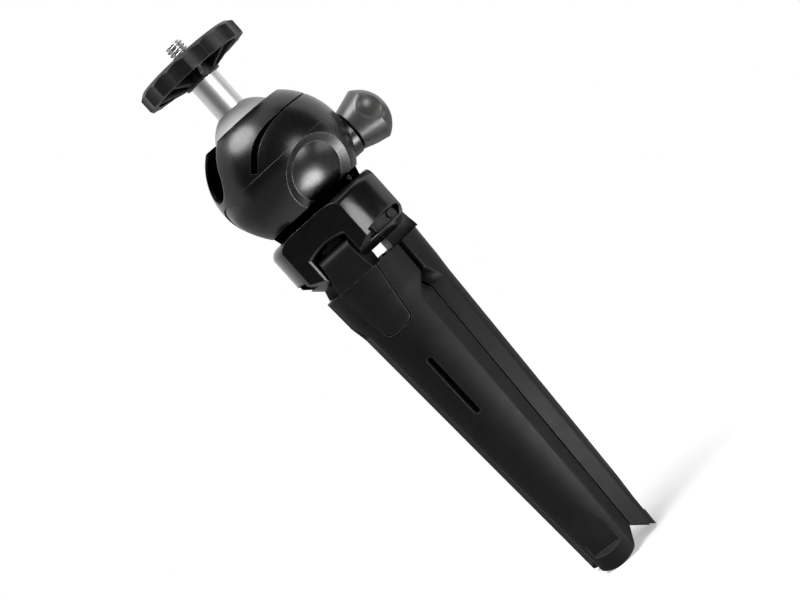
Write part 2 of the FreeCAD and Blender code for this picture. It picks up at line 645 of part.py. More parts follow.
def arm_side_outline():
    """(s, z) outline of the arm above the shoulders and inside the leg."""
    knuckle = []
    for step in range(9):
        angle = math.radians(180.0 * step / 8)
        knuckle.append((PIN_S + KNUCKLE_R * math.cos(angle), PIN_Z + KNUCKLE_R * math.sin(angle)))
    core_s = UPPER_R_AT_TOP - 2.0
    core_low_z = TONGUE_TIP_Z + 2.0
    front = [(core_s, core_low_z), (core_s, LEG_TOP_Z - 0.01), (UPPER_R_AT_TOP - 0.1, LEG_TOP_Z),
             (UPPER_R_AT_TOP - 0.15, LEG_TOP_Z + 1.4), (PIN_S + KNUCKLE_R, PIN_Z - 3.0)]
    back = [(ARM_BACK_S + 1.1, PIN_Z - 2.8), (ARM_BACK_S, LEG_TOP_Z + 3.0), (ARM_BACK_S, UPPER_ZONE_Z),
            (ARM_BACK_S + 2.1, core_low_z)]
    return front + knuckle + back


def arm_plan(z, back_half, front_half):
    """Plan outline of the arm at height z, with bevelled front corners."""
    shoulder_s = PIN_S + 1.4
    outline = [(-back_half, 0.0), (back_half, 0.0), (back_half, shoulder_s), (front_half, HUB_FLAT_S + 1.8),
               (-front_half, HUB_FLAT_S + 1.8), (-back_half, shoulder_s)]
    return wire_through([vec(t, s, z) for t, s in outline])


def hinge_arm():
    """Hinge arm: knuckle and stop ear in the hub, tongue and core in the leg."""
    profile = side_prism(arm_side_outline(), OUTSIDE)
    plans = [arm_plan(TONGUE_TIP_Z, ARM_CORE_HALF_WIDTH, ARM_CORE_HALF_WIDTH),
             arm_plan(LEG_TOP_Z, ARM_WAIST_HALF_WIDTH, TONGUE_TOP_HALF_WIDTH),
             arm_plan(LEG_TOP_Z + 3.8, ARM_HALF_WIDTH, ARM_WAIST_HALF_WIDTH),
             arm_plan(PIN_Z + 2.0, ARM_HALF_WIDTH, ARM_FACE_HALF_WIDTH),
             arm_plan(PIN_Z + 2 * KNUCKLE_R, ARM_HALF_WIDTH, ARM_FACE_TOP_HALF_WIDTH)]
    body = profile.common(Part.makeLoft(plans, True, True))
    ear_z = PIN_Z + KNUCKLE_R + 1.0
    ear = side_prism([(PIN_S - 2.6, PIN_Z), (PIN_S + 0.8, PIN_Z), (PIN_S + 0.8, ear_z),
                      (PIN_S - 2.0, ear_z), (PIN_S - 2.6, ear_z - 0.6)], STOP_EAR_HALF_WIDTH)
    tongue = leg_walls().common(tongue_zone(0.0))
    body = body.fuse(ear).fuse(tongue)
    body = body.cut(cross_cylinder(PIN_R + RUNNING_GAP, -OUTSIDE, OUTSIDE, PIN_S, PIN_Z))
    for z in LEG_SCREW_HEIGHTS:
        body = body.cut(radial_cylinder(LEG_SCREW_R, 0, PIN_S + 0.5, z))
    return body.removeSplitter()


def leg_screws():
    """Two pan-head screws that hold the leg's bridge to the arm."""
    seat_s = ARM_BACK_S - LEG_WALL
    solids = []
    for z in LEG_SCREW_HEIGHTS:
        head = radial_cylinder(LEG_SCREW_HEAD_R, seat_s - LEG_SCREW_HEAD, seat_s, z)
        solids.append(head.fuse(radial_cylinder(LEG_SCREW_R, seat_s, PIN_S, z)))
    return Part.makeCompound(solids)


def foot_pad():
    """Rubber plug in the end of a leg that stands on the table when the leg is open."""
    plug = leg_inside(0.0, FOOT_PAD_TOP_Z, LEG_WALL + RUNNING_GAP)
    return plug.cut(foot_plane_cut(FOOT_PAD_STAND_OUT))


# Ball head.
def arch_axis(azimuth):
    """Unit vector from the housing's centre to the middle of an arch recess."""
    tilt = math.radians(ARCH_TILT)
    around = math.radians(azimuth)
    return FreeCAD.Vector(math.sin(around) * math.cos(tilt), -math.cos(around) * math.cos(tilt),
                          -math.sin(tilt))


def housing_centre():
    """Centre of the housing's outer sphere."""
    return FreeCAD.Vector(0, 0, HOUSING_Z)


def arch_recess_tool(azimuth):
    """Round recess with a conical bevel that leaves a lower dome standing in its middle."""
    axis = arch_axis(azimuth)
    rim = math.sqrt(HOUSING_R ** 2 - ARCH_R ** 2)
    floor = math.sqrt(ARCH_DOME_R ** 2 - ARCH_FLOOR_R ** 2)
    widening = (ARCH_R - ARCH_FLOOR_R) / (rim - floor)
    length = HOUSING_R - floor + PAST
    cone = Part.makeCone(ARCH_FLOOR_R, ARCH_FLOOR_R + widening * length, length,
                         housing_centre() + axis * floor, axis)
    return cone.cut(sphere(ARCH_DOME_R, HOUSING_Z))


def arch_crease_tool(azimuth):
    """Shallow step with the arch's outline, under the notch."""
    axis = arch_axis(azimuth)
    zone = Part.makeCylinder(ARCH_R, HOUSING_R, housing_centre() + axis * (HOUSING_R / 2), axis)
    return zone.cut(sphere(HOUSING_R - CREASE_DEPTH, HOUSING_Z))


def lower_housing():
    """Lower half of the housing: bores for the cup, the bolt and the lock screw, boss and arch recesses."""
    body = sphere(HOUSING_R, HOUSING_Z).common(slab(HOUSING_BOTTOM_Z, SEAM_Z))
    body = body.fuse(at_knob(radial_cylinder(BOSS_R, CUP_R + PAST, BOSS_FACE_S, LOCK_Z)))
    tools = [arch_recess_tool(azimuth) for azimuth in ARCH_AZIMUTHS]
    tools.append(arch_crease_tool(NOTCH_AZIMUTH))
    tools.append(at_knob(radial_cylinder(BOSS_R, BOSS_FACE_S, OUTSIDE, LOCK_Z)))
    tools.append(at_knob(radial_cylinder(LOCK_SCREW_R + RUNNING_GAP, 0, OUTSIDE, LOCK_Z)))
    tools.append(upright_cylinder(CUP_R + FREE_GAP, FLOOR_Z, ABOVE_ALL))
    tools.append(sphere(BALL_R + FREE_GAP, BALL_Z))
    tools.append(upright_cylinder(BOLT_R + RUNNING_GAP, BELOW_ALL, ABOVE_ALL))
    for azimuth in HOUSING_SCREW_AZIMUTHS:
        tools.append(at_screw(HOUSING_SCREW_R + FREE_GAP, BELOW_ALL, ABOVE_ALL, azimuth))
        tools.append(at_screw(HOUSING_SCREW_HEAD_R + THREAD_GAP, BELOW_ALL, HOUSING_SCREW_SEAT_Z, azimuth))
    for tool in tools:
        body = body.cut(tool)
    return body


def at_knob(shape):
    """Turn a shape built at azimuth 0 to the knob's side."""
    return turned(shape, KNOB_AZIMUTH)


def at_screw(radius, low_z, high_z, azimuth):
    """Upright cylinder on the circle of the housing screws."""
    return turned(upright_cylinder(radius, low_z, high_z, 0, HOUSING_SCREW_RADIUS), azimuth)


def swoosh_stations():
    """Groove's stations: degrees from the notch, height over the housing's centre and groove radius."""
    return ((47.0, 2.7, 1.2), (50.3, 4.5, 1.2), (56.5, 7.2, 1.15), (63.0, 9.1, 1.1), (71.3, 10.5, 0.95),
            (79.0, 11.3, 0.75), (88.0, 11.8, 0.5), (100.0, SWOOSH_TOP, SWOOSH_LINE_R + RUNNING_GAP))


def on_housing(angle, height):
    """Point of the housing's sphere at an angle from azimuth 0 and a height over its centre."""
    ring = math.sqrt(HOUSING_R ** 2 - height ** 2)
    around = math.radians(angle)
    return vec(ring * math.sin(around), ring * math.cos(around), HOUSING_Z + height)


def swoosh_tool():
    """Wide groove that rises from the seam and thins out, built beside azimuth 0."""
    stations = swoosh_stations()
    path = interpolated_edge([on_housing(angle, height) for angle, height, radius in stations])
    circles = []
    for angle, height, radius in stations:
        place = on_housing(angle, height)
        heading = path.tangentAt(path.Curve.parameter(place))
        circles.append(Part.Wire(Part.makeCircle(radius, place, heading)))
    return Part.makeLoft(circles, True, False)


def swoosh_line_tool():
    """Fine level groove that joins the two wide ones round the back."""
    ring = math.sqrt(HOUSING_R ** 2 - SWOOSH_TOP ** 2)
    last = swoosh_stations()[-1][0] - 1
    line = Part.makeTorus(ring, SWOOSH_LINE_R, FreeCAD.Vector(0, 0, HOUSING_Z + SWOOSH_TOP), Z_AXIS,
                          -180, 180, 360 - 2 * last)
    return turned(line, last - 90)


def portrait_notch_tool():
    """Slot for the stem, open at the top and round at the bottom."""
    slot = radial_cylinder(NOTCH_SLOT_HALF_WIDTH, STEM_R, OUTSIDE, NOTCH_SLOT_Z)
    above = Part.makeBox(2 * NOTCH_SLOT_HALF_WIDTH, OUTSIDE - STEM_R, ABOVE_ALL - NOTCH_SLOT_Z,
                         vec(-NOTCH_SLOT_HALF_WIDTH, OUTSIDE, NOTCH_SLOT_Z))
    return turned(slot.fuse(above), NOTCH_AZIMUTH)


def upper_housing():
    """Upper half of the housing: spherical seat, opening, portrait notch and swoosh groove."""
    body = sphere(HOUSING_R, HOUSING_Z).common(slab(SEAM_Z, HOUSING_TOP_Z))
    body = body.cut(portrait_notch_tool())
    lip = [edge for edge in body.Edges if on_notch_lip(edge)]
    if lip:
        body = body.makeFillet(NOTCH_LIP, lip)
    swoosh = swoosh_tool()
    grooves = [swoosh, swoosh.mirror(ORIGIN, FreeCAD.Vector(1, 0, 0)), swoosh_line_tool()]
    tools = [turned(groove, NOTCH_AZIMUTH) for groove in grooves]
    tools.append(upright_cylinder(BALL_R + FREE_GAP, BELOW_ALL, BALL_Z))
    tools.append(sphere(BALL_R + FREE_GAP, BALL_Z))
    for azimuth in HOUSING_SCREW_AZIMUTHS:
        tools.append(at_screw(HOUSING_SCREW_R, BELOW_ALL, HOUSING_SCREW_TIP_Z + FREE_GAP, azimuth))
    for tool in tools:
        body = body.cut(tool)
    return body


def on_notch_lip(edge):
    """True for the edges where the portrait notch meets the housing's outside."""
    around = math.radians(NOTCH_AZIMUTH)
    for share in (0.25, 0.5, 0.75):
        at = edge.FirstParameter + share * (edge.LastParameter - edge.FirstParameter)
        point = edge.valueAt(at)
        from_centre = (point - housing_centre()).Length
        sideways = abs(point.x * math.cos(around) + point.y * math.sin(around))
        outward = point.x * math.sin(around) - point.y * math.cos(around)
        on_sphere = abs(from_centre - HOUSING_R) < RUNNING_GAP
        on_slot = sideways < NOTCH_SLOT_HALF_WIDTH + RUNNING_GAP and outward > STEM_R
        if not (on_sphere and on_slot and point.z < HOUSING_TOP_Z - RUNNING_GAP):
            return False
    return True


def housing_screws():
    """Four screws that hold the two halves of the housing together."""
    solids = []
    for azimuth in HOUSING_SCREW_AZIMUTHS:
        head = at_screw(HOUSING_SCREW_HEAD_R, HOUSING_SCREW_HEAD_Z, HOUSING_SCREW_SEAT_Z, azimuth)
        shank = at_screw(HOUSING_SCREW_R, HOUSING_SCREW_SEAT_Z, HOUSING_SCREW_TIP_Z, azimuth)
        solids.append(head.fuse(shank))
    return Part.makeCompound(solids)


def pressure_cup():
    """Plastic cup under the ball, with a conical cross hole for the lock screw's point."""
    body = upright_cylinder(CUP_R, CUP_BOTTOM_Z, CUP_TOP_Z)
    body = body.cut(sphere(BALL_R + FREE_GAP, BALL_Z))
    hole = radial_cone(LOCK_TIP_R + FREE_GAP, LOCK_SCREW_R + 2.0, LOCK_TIP_S - 1.2, CUP_R + FREE_GAP, LOCK_Z)
    return body.cut(at_knob(hole))


def ball():
    """Aluminium ball with a flat and a bore for the stem."""
    body = sphere(BALL_R, BALL_Z).common(slab(BELOW_ALL, BALL_FLAT_Z))
    low_z = BALL_FLAT_Z - SPIGOT_LENGTH - FREE_GAP
    return body.cut(upright_cylinder(SPIGOT_R + RUNNING_GAP, low_z, ABOVE_ALL))


def stem():
    """Aluminium stem with a spigot below and a tapped hole for the stud above."""
    body = upright_cylinder(STEM_R, BALL_FLAT_Z, STEM_TOP_Z)
    body = body.fuse(upright_cylinder(SPIGOT_R, BALL_FLAT_Z - SPIGOT_LENGTH, BALL_FLAT_Z))
    body = body.cut(upright_cylinder(STUD_CORE_R, STUD_BOTTOM_Z, ABOVE_ALL))
    return body.removeSplitter()


def camera_screw():
    """Steel stud for the camera's socket, with a plain core where it is screwed in."""
    core = upright_cylinder(STUD_CORE_R, STUD_BOTTOM_Z, PAD_TOP_Z + FREE_GAP)
    pin = upright_cylinder(STUD_R, PAD_TOP_Z + FREE_GAP, STUD_TIP_Z - STUD_CHAMFER)
    tip = Part.makeCone(STUD_R, STUD_R - STUD_CHAMFER, STUD_CHAMFER,
                        FreeCAD.Vector(0, 0, STUD_TIP_Z - STUD_CHAMFER), Z_AXIS)
    return core.fuse(pin).fuse(tip).removeSplitter()


def disc_blank():
    """Turned body of the disc: rim, top plate with a seat for the pad, and boss."""
    bore = STUD_CORE_R + THREAD_GAP
    plate_z = DISC_TOP_Z - DISC_PLATE
    seat_z = PAD_TOP_Z - PAD_THICKNESS
    outline = [
        (bore, DISC_BOSS_Z), (DISC_BOSS_R, DISC_BOSS_Z), (DISC_BOSS_R, plate_z), (DISC_RIM_INNER_R, plate_z),
        (DISC_RIM_INNER_R, DISC_RIM_Z), (DISC_R - 0.3, DISC_RIM_Z), (DISC_R, DISC_RIM_Z + 0.3),
        (DISC_R, DISC_TOP_Z - DISC_BEVEL_HEIGHT), (DISC_R - DISC_BEVEL_WIDTH, DISC_TOP_Z),
        (PAD_R + RUNNING_GAP, DISC_TOP_Z), (PAD_R + RUNNING_GAP, seat_z), (bore, seat_z),
    ]
    points = [FreeCAD.Vector(r, 0, z) for r, z in outline]
    return Part.Face(wire_through(points)).revolve(ORIGIN, Z_AXIS, 360)


def scallop_tool():
    """Upright cylinder that hollows the rim between two ridges at azimuth 0."""
    half_step = math.radians(180.0 / SCALLOP_COUNT)
    half_chord = DISC_R * math.sin(half_step)
    chord_s = DISC_R * math.cos(half_step)
    depth = SCALLOP_DEPTH - (DISC_R - chord_s)
    radius = (half_chord ** 2 + depth ** 2) / (2 * depth)
    return upright_cylinder(radius, DISC_RIM_Z - PAST, DISC_TOP_Z + PAST, 0, chord_s - depth + radius)


def locking_disc():
    """Scalloped wheel with a bevelled rim, ribs underneath and a boss that runs on the stud."""
    body = disc_blank()
    lap = 0.4
    rib = side_prism([(DISC_BOSS_R - lap, DISC_BOSS_Z + 0.5), (DISC_RIM_INNER_R + lap, DISC_RIM_Z + 0.2),
                      (DISC_RIM_INNER_R + lap, DISC_TOP_Z - DISC_PLATE + lap),
                      (DISC_BOSS_R - lap, DISC_TOP_Z - DISC_PLATE + lap)], DISC_RIB_THICKNESS / 2)
    for number in range(DISC_RIB_COUNT):
        body = body.fuse(turned(rib, DISC_RIB_START + number * 360.0 / DISC_RIB_COUNT))
    for number in range(SCALLOP_COUNT):
        body = body.cut(turned(scallop_tool(), (number + 0.5) * 360.0 / SCALLOP_COUNT))
    return body


def disc_pad():
    """Thin rubber ring, let into the disc's top, that grips the camera."""
    pad = upright_cylinder(PAD_R, PAD_TOP_Z - PAD_THICKNESS, PAD_TOP_Z)
    return pad.cut(upright_cylinder(PAD_HOLE_R, BELOW_ALL, ABOVE_ALL))


def neck_ring():
    """Dark conical ring between the hub and the ball head."""
    ring = Part.makeCone(NECK_BOTTOM_R, NECK_TOP_R, HOUSING_BOTTOM_Z - HUB_TOP_Z,
                         FreeCAD.Vector(0, 0, HUB_TOP_Z), Z_AXIS)
    ring = ring.cut(upright_cylinder(BOLT_R + 2 * THREAD_GAP, BELOW_ALL, ABOVE_ALL))
    hole = radial_cylinder(SET_SCREW_R, NECK_TOP_R - SET_SCREW_LENGTH, OUTSIDE, neck_middle_z())
    return ring.cut(turned(hole, SET_SCREW_AZIMUTH))


def neck_middle_z():
    """Height of the grub screw, half-way up the neck ring."""
    return (HUB_TOP_Z + HOUSING_BOTTOM_Z) / 2


def neck_set_screw():
    """Small grub screw that keeps the head from unscrewing."""
    screw = radial_cylinder(SET_SCREW_R, NECK_TOP_R - SET_SCREW_LENGTH, NECK_TOP_R, neck_middle_z())
    socket = radial_cylinder(SET_SCREW_R / 2, NECK_TOP_R - SET_SCREW_R, OUTSIDE, neck_middle_z())
    return turned(screw.cut(socket), SET_SCREW_AZIMUTH)


def base_bolt():
    """Socket-head bolt that holds the ball head on the hub."""
    head = upright_cylinder(BOLT_HEAD_R, BOLT_HEAD_LOW_Z, BOLT_HEAD_HIGH_Z)
    shank = upright_cylinder(BOLT_R, BOLT_HEAD_HIGH_Z, FLOOR_Z - RUNNING_GAP)
    corners = []
    for number in range(6):
        angle = math.radians(60 * number)
        corners.append(FreeCAD.Vector(BOLT_SOCKET_R * math.cos(angle), BOLT_SOCKET_R * math.sin(angle),
                                      BOLT_HEAD_LOW_Z))
    socket = Part.Face(wire_through(corners)).extrude(FreeCAD.Vector(0, 0, BOLT_SOCKET_DEPTH))
    return head.fuse(shank).cut(socket).removeSplitter()


# Lock.
def lock_screw():
    """Steel screw with a conical point, fixed in the knob."""
    cone_end = LOCK_TIP_S + LOCK_CONE_LENGTH
    body = radial_cylinder(LOCK_SCREW_R, cone_end, LOCK_SCREW_END_S, LOCK_Z)
    body = body.fuse(radial_cone(LOCK_TIP_R, LOCK_SCREW_R, LOCK_TIP_S, cone_end, LOCK_Z))
    return at_knob(body.removeSplitter())


def knob_collar():
    """Washer between the housing's boss and the knob."""
    ring = radial_cylinder(COLLAR_R, BOSS_FACE_S, COLLAR_FACE_S, LOCK_Z)
    return at_knob(ring.cut(radial_cylinder(LOCK_SCREW_R + FREE_GAP, 0, OUTSIDE, LOCK_Z)))


def lock_knob():
    """Three-lobed knob: a flared body with a domed end and three finger hollows."""
    end_u = KNOB_LENGTH
    dome_u = (KNOB_LENGTH ** 2 - KNOB_WIDEST ** 2 - KNOB_R ** 2) / (2 * (KNOB_LENGTH - KNOB_WIDEST))
    dome_r = KNOB_LENGTH - dome_u
    flare_r = 0.8 * KNOB_R + 0.2 * KNOB_BASE_R
    flare = Part.Arc(knob_point(0, KNOB_BASE_R), knob_point(KNOB_WIDEST / 2, flare_r),
                     knob_point(KNOB_WIDEST, KNOB_R))
    middle_u = (KNOB_WIDEST + end_u) / 2 + 1.5
    middle_r = math.sqrt(dome_r ** 2 - (middle_u - dome_u) ** 2)
    dome = Part.Arc(knob_point(KNOB_WIDEST, KNOB_R), knob_point(middle_u, middle_r), knob_point(end_u, 0))
    edges = [Part.makeLine(knob_point(0, 0), knob_point(0, KNOB_BASE_R)), flare.toShape(), dome.toShape(),
             Part.makeLine(knob_point(end_u, 0), knob_point(0, 0))]
    body = Part.Face(Part.Wire(edges)).revolve(knob_point(0, 0), vec(0, 1, 0), 360)
    for number in range(3):
        angle = math.radians(-90 + 120 * number)
        centre = vec(DIMPLE_OUT * math.sin(angle), KNOB_BASE_S + DIMPLE_ALONG,
                     LOCK_Z + DIMPLE_OUT * math.cos(angle))
        body = body.cut(Part.makeSphere(DIMPLE_R, centre, Z_AXIS, -90, 90, 360))
    body = body.cut(radial_cylinder(LOCK_SCREW_R, 0, LOCK_SCREW_END_S, LOCK_Z))
    return at_knob(body)


def knob_point(along, out):
    """Point of the knob's outline: along its axis from the base, and out from the axis."""
    return vec(0, KNOB_BASE_S + along, LOCK_Z + out)


# Export.
def all_pieces():
    """Every node's name and shape."""
    pieces = {
        "leg_hub": leg_hub(), "neck_ring": neck_ring(), "neck_set_screw": neck_set_screw(),
        "base_bolt": base_bolt(), "lower_housing": lower_housing(), "upper_housing": upper_housing(),
        "housing_screws": housing_screws(), "pressure_cup": pressure_cup(), "ball": ball(), "stem": stem(),
        "camera_screw": camera_screw(), "locking_disc": locking_disc(), "disc_pad": disc_pad(),
        "lock_screw": lock_screw(), "lock_knob": lock_knob(), "knob_collar": knob_collar(),
    }
    one_leg = {"hinge_pin": hinge_pin(), "leg_arm": hinge_arm(), "leg_shell": leg_shell(),
               "leg_screws": leg_screws(), "foot_pad": foot_pad()}
    for number, azimuth in enumerate(LEG_AZIMUTHS, start=1):
        for name, shape in one_leg.items():
            pieces[f"{name}_{number}"] = turned(shape, azimuth)
    return pieces


def main():
    """Write every piece and print its solids, volume and validity."""
    os.makedirs("parts", exist_ok=True)
    for name, shape in all_pieces().items():
        shape.exportStep(f"parts/{name}.step")
        print(f"{name:16s} solids {len(shape.Solids)} volume {shape.Volume:9.1f} valid {shape.isValid()}")


main()
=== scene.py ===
"""Looks of a mini tripod with a ball head: finishes, the thread, the pad and the knob.

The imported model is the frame: metres, +Z up along the tripod's centre line, soles of the folded
legs at Z = 0. An azimuth turns about +Z from the -Y direction.
"""

import logging
import math
from dataclasses import dataclass, field
from enum import Enum

import bpy
import numpy as np
from mathutils import Matrix, Vector


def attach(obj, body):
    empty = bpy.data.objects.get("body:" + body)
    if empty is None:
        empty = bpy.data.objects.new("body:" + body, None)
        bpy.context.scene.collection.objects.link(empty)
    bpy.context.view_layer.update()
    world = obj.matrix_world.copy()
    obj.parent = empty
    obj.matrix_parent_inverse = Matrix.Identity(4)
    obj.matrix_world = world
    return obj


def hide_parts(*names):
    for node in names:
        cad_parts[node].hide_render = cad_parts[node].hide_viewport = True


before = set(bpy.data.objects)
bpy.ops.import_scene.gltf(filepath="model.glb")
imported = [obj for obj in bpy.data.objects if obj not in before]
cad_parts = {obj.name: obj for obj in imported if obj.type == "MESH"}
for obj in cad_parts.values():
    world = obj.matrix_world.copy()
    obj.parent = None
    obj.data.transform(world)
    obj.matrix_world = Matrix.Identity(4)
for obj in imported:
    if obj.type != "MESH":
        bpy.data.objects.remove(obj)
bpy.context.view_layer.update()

MM = 0.001
WELD_REACH = 0.001 * MM
WHITE = (1.0, 1.0, 1.0, 1.0)
LOG = logging.getLogger("mini_tripod")

Colour = tuple[float, float, float]
Span = tuple[float, float]
Socket = bpy.types.NodeSocket


class Body(Enum):
    """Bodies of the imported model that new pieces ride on."""

    STEM = "camera_stem"
    DISC = "disc"
    KNOB = "knob"


def grey(level: float) -> Colour:
    """A neutral colour of one level."""
    return (level, level, level)


def grid_mesh(name: str, points: np.ndarray, wrap_u: bool = True) -> bpy.types.Mesh:
    """Make a mesh from a grid of points.

    Face (i, j) joins grid points (i, j), (i, j+1), (i+1, j+1) and (i+1, j); u is the second index
    and closes on itself where wrap_u is set.

    Args:
        name: The mesh's name.
        points: Array of shape (rows, columns, 3), metres.
        wrap_u: Whether the last column joins the first.

    Returns:
        The mesh, with faces that point outwards when u runs anticlockwise seen from the end of v.
    """
    rows, columns = points.shape[:2]
    index = np.arange(rows * columns).reshape(rows, columns)
    across = np.roll(index, -1, axis=1) if wrap_u else index[:, 1:]
    here = index if wrap_u else index[:, :-1]
    quads = np.stack([here[:-1], across[:-1], across[1:], here[1:]], axis=-1).reshape(-1, 4)
    mesh = bpy.data.meshes.new(name)
    mesh.vertices.add(rows * columns)
    mesh.vertices.foreach_set("co", points.astype(np.float32).ravel())
    mesh.loops.add(quads.size)
    mesh.loops.foreach_set("vertex_index", quads.astype(np.int32).ravel())
    mesh.polygons.add(len(quads))
    mesh.polygons.foreach_set("loop_start", np.arange(0, quads.size, 4, dtype=np.int32))
    mesh.polygons.foreach_set("use_smooth", np.ones(len(quads), dtype=bool))
    mesh.update(calc_edges=True)
    mesh.validate()
    return mesh


def lathe_points(radius: np.ndarray, along: np.ndarray, angle: np.ndarray) -> np.ndarray:
    """Grid points (r cos a, r sin a, z) of a surface about the Z axis.

    Args:
        radius: Radii r, metres.
        along: Heights z, metres.
        angle: Angles a, radians.

    Returns:
        Array with a last axis of 3.
    """
    parts = np.broadcast_arrays(radius * np.cos(angle), radius * np.sin(angle), along)
    return np.stack(parts, axis=-1)


def piece(name: str, mesh: bpy.types.Mesh, finish: bpy.types.Material) -> bpy.types.Object:
    """Put a mesh into the scene as a piece whose object sits at the origin.

    Args:
        name: The piece's name.
        mesh: Its mesh, in the frame's metres.
        finish: Its material.

    Returns:
        The new object.
    """
    mesh.materials.append(finish)
    made = bpy.data.objects.new(name, mesh)
    bpy.context.scene.collection.objects.link(made)
    LOG.info("%s made", name)
    return made


def weld(target: bpy.types.Object) -> None:
    """Join an object's coincident points, which closes poles and seams."""
    target.modifiers.new("weld", "WELD").merge_threshold = WELD_REACH


class Wiring:
    """A node tree, with helpers that add and join nodes."""

    def __init__(self, tree: bpy.types.NodeTree) -> None:
        """Empty the tree."""
        self.tree = tree
        self.tree.nodes.clear()

    def add(self, kind: str, **settings: object) -> bpy.types.Node:
        """Add a node.

        Args:
            kind: Blender's node type.
            settings: Attributes to set on the node.

        Returns:
            The node.
        """
        node = self.tree.nodes.new(kind)
        for key, value in settings.items():
            setattr(node, key, value)
        return node

    def join(self, source: Socket, target: Socket) -> None:
        """Link one socket to another."""
        self.tree.links.new(source, target)

    def combine(self, operation: str, first: Socket, second: Socket | float) -> Socket:
        """Work out one value from two.

        Args:
            operation: Blender's name of the operation.
            first: The first value.
            second: The second one, or a number.

        Returns:
            The result.
        """
        node = self.add("ShaderNodeMath", operation=operation)
        self.join(first, node.inputs[0])
        if isinstance(second, Socket):
            self.join(second, node.inputs[1])
        else:
            node.inputs[1].default_value = second
        return node.outputs[0]

    def ramp(self, value: Socket, source: Span, target: Span, smooth: bool = False) -> Socket:
        """Map one range of values onto another and clamp it there.

        Args:
            value: The value.
            source: Its range.
            target: The range it comes to.
            smooth: Whether the change starts and ends gently.

        Returns:
            The mapped value.
        """
        kind = "SMOOTHSTEP" if smooth else "LINEAR"
        node = self.add("ShaderNodeMapRange", interpolation_type=kind)
        for key, number in zip(("From Min", "From Max", "To Min", "To Max"), (*source, *target)):
            node.inputs[key].default_value = number
        self.join(value, node.inputs["Value"])
        return node.outputs["Result"]

    def background_rays(self) -> Socket:
        """Tell the rays that look at a surface from those that light it.

        Returns:
            One for a camera, glossy or transmitted ray, else zero.
        """
        paths = self.add("ShaderNodeLightPath")
        value = paths.outputs["Is Camera Ray"]
        for name in ("Is Glossy Ray", "Is Transmission Ray"):
            value = self.combine("MAXIMUM", value, paths.outputs[name])
        return value


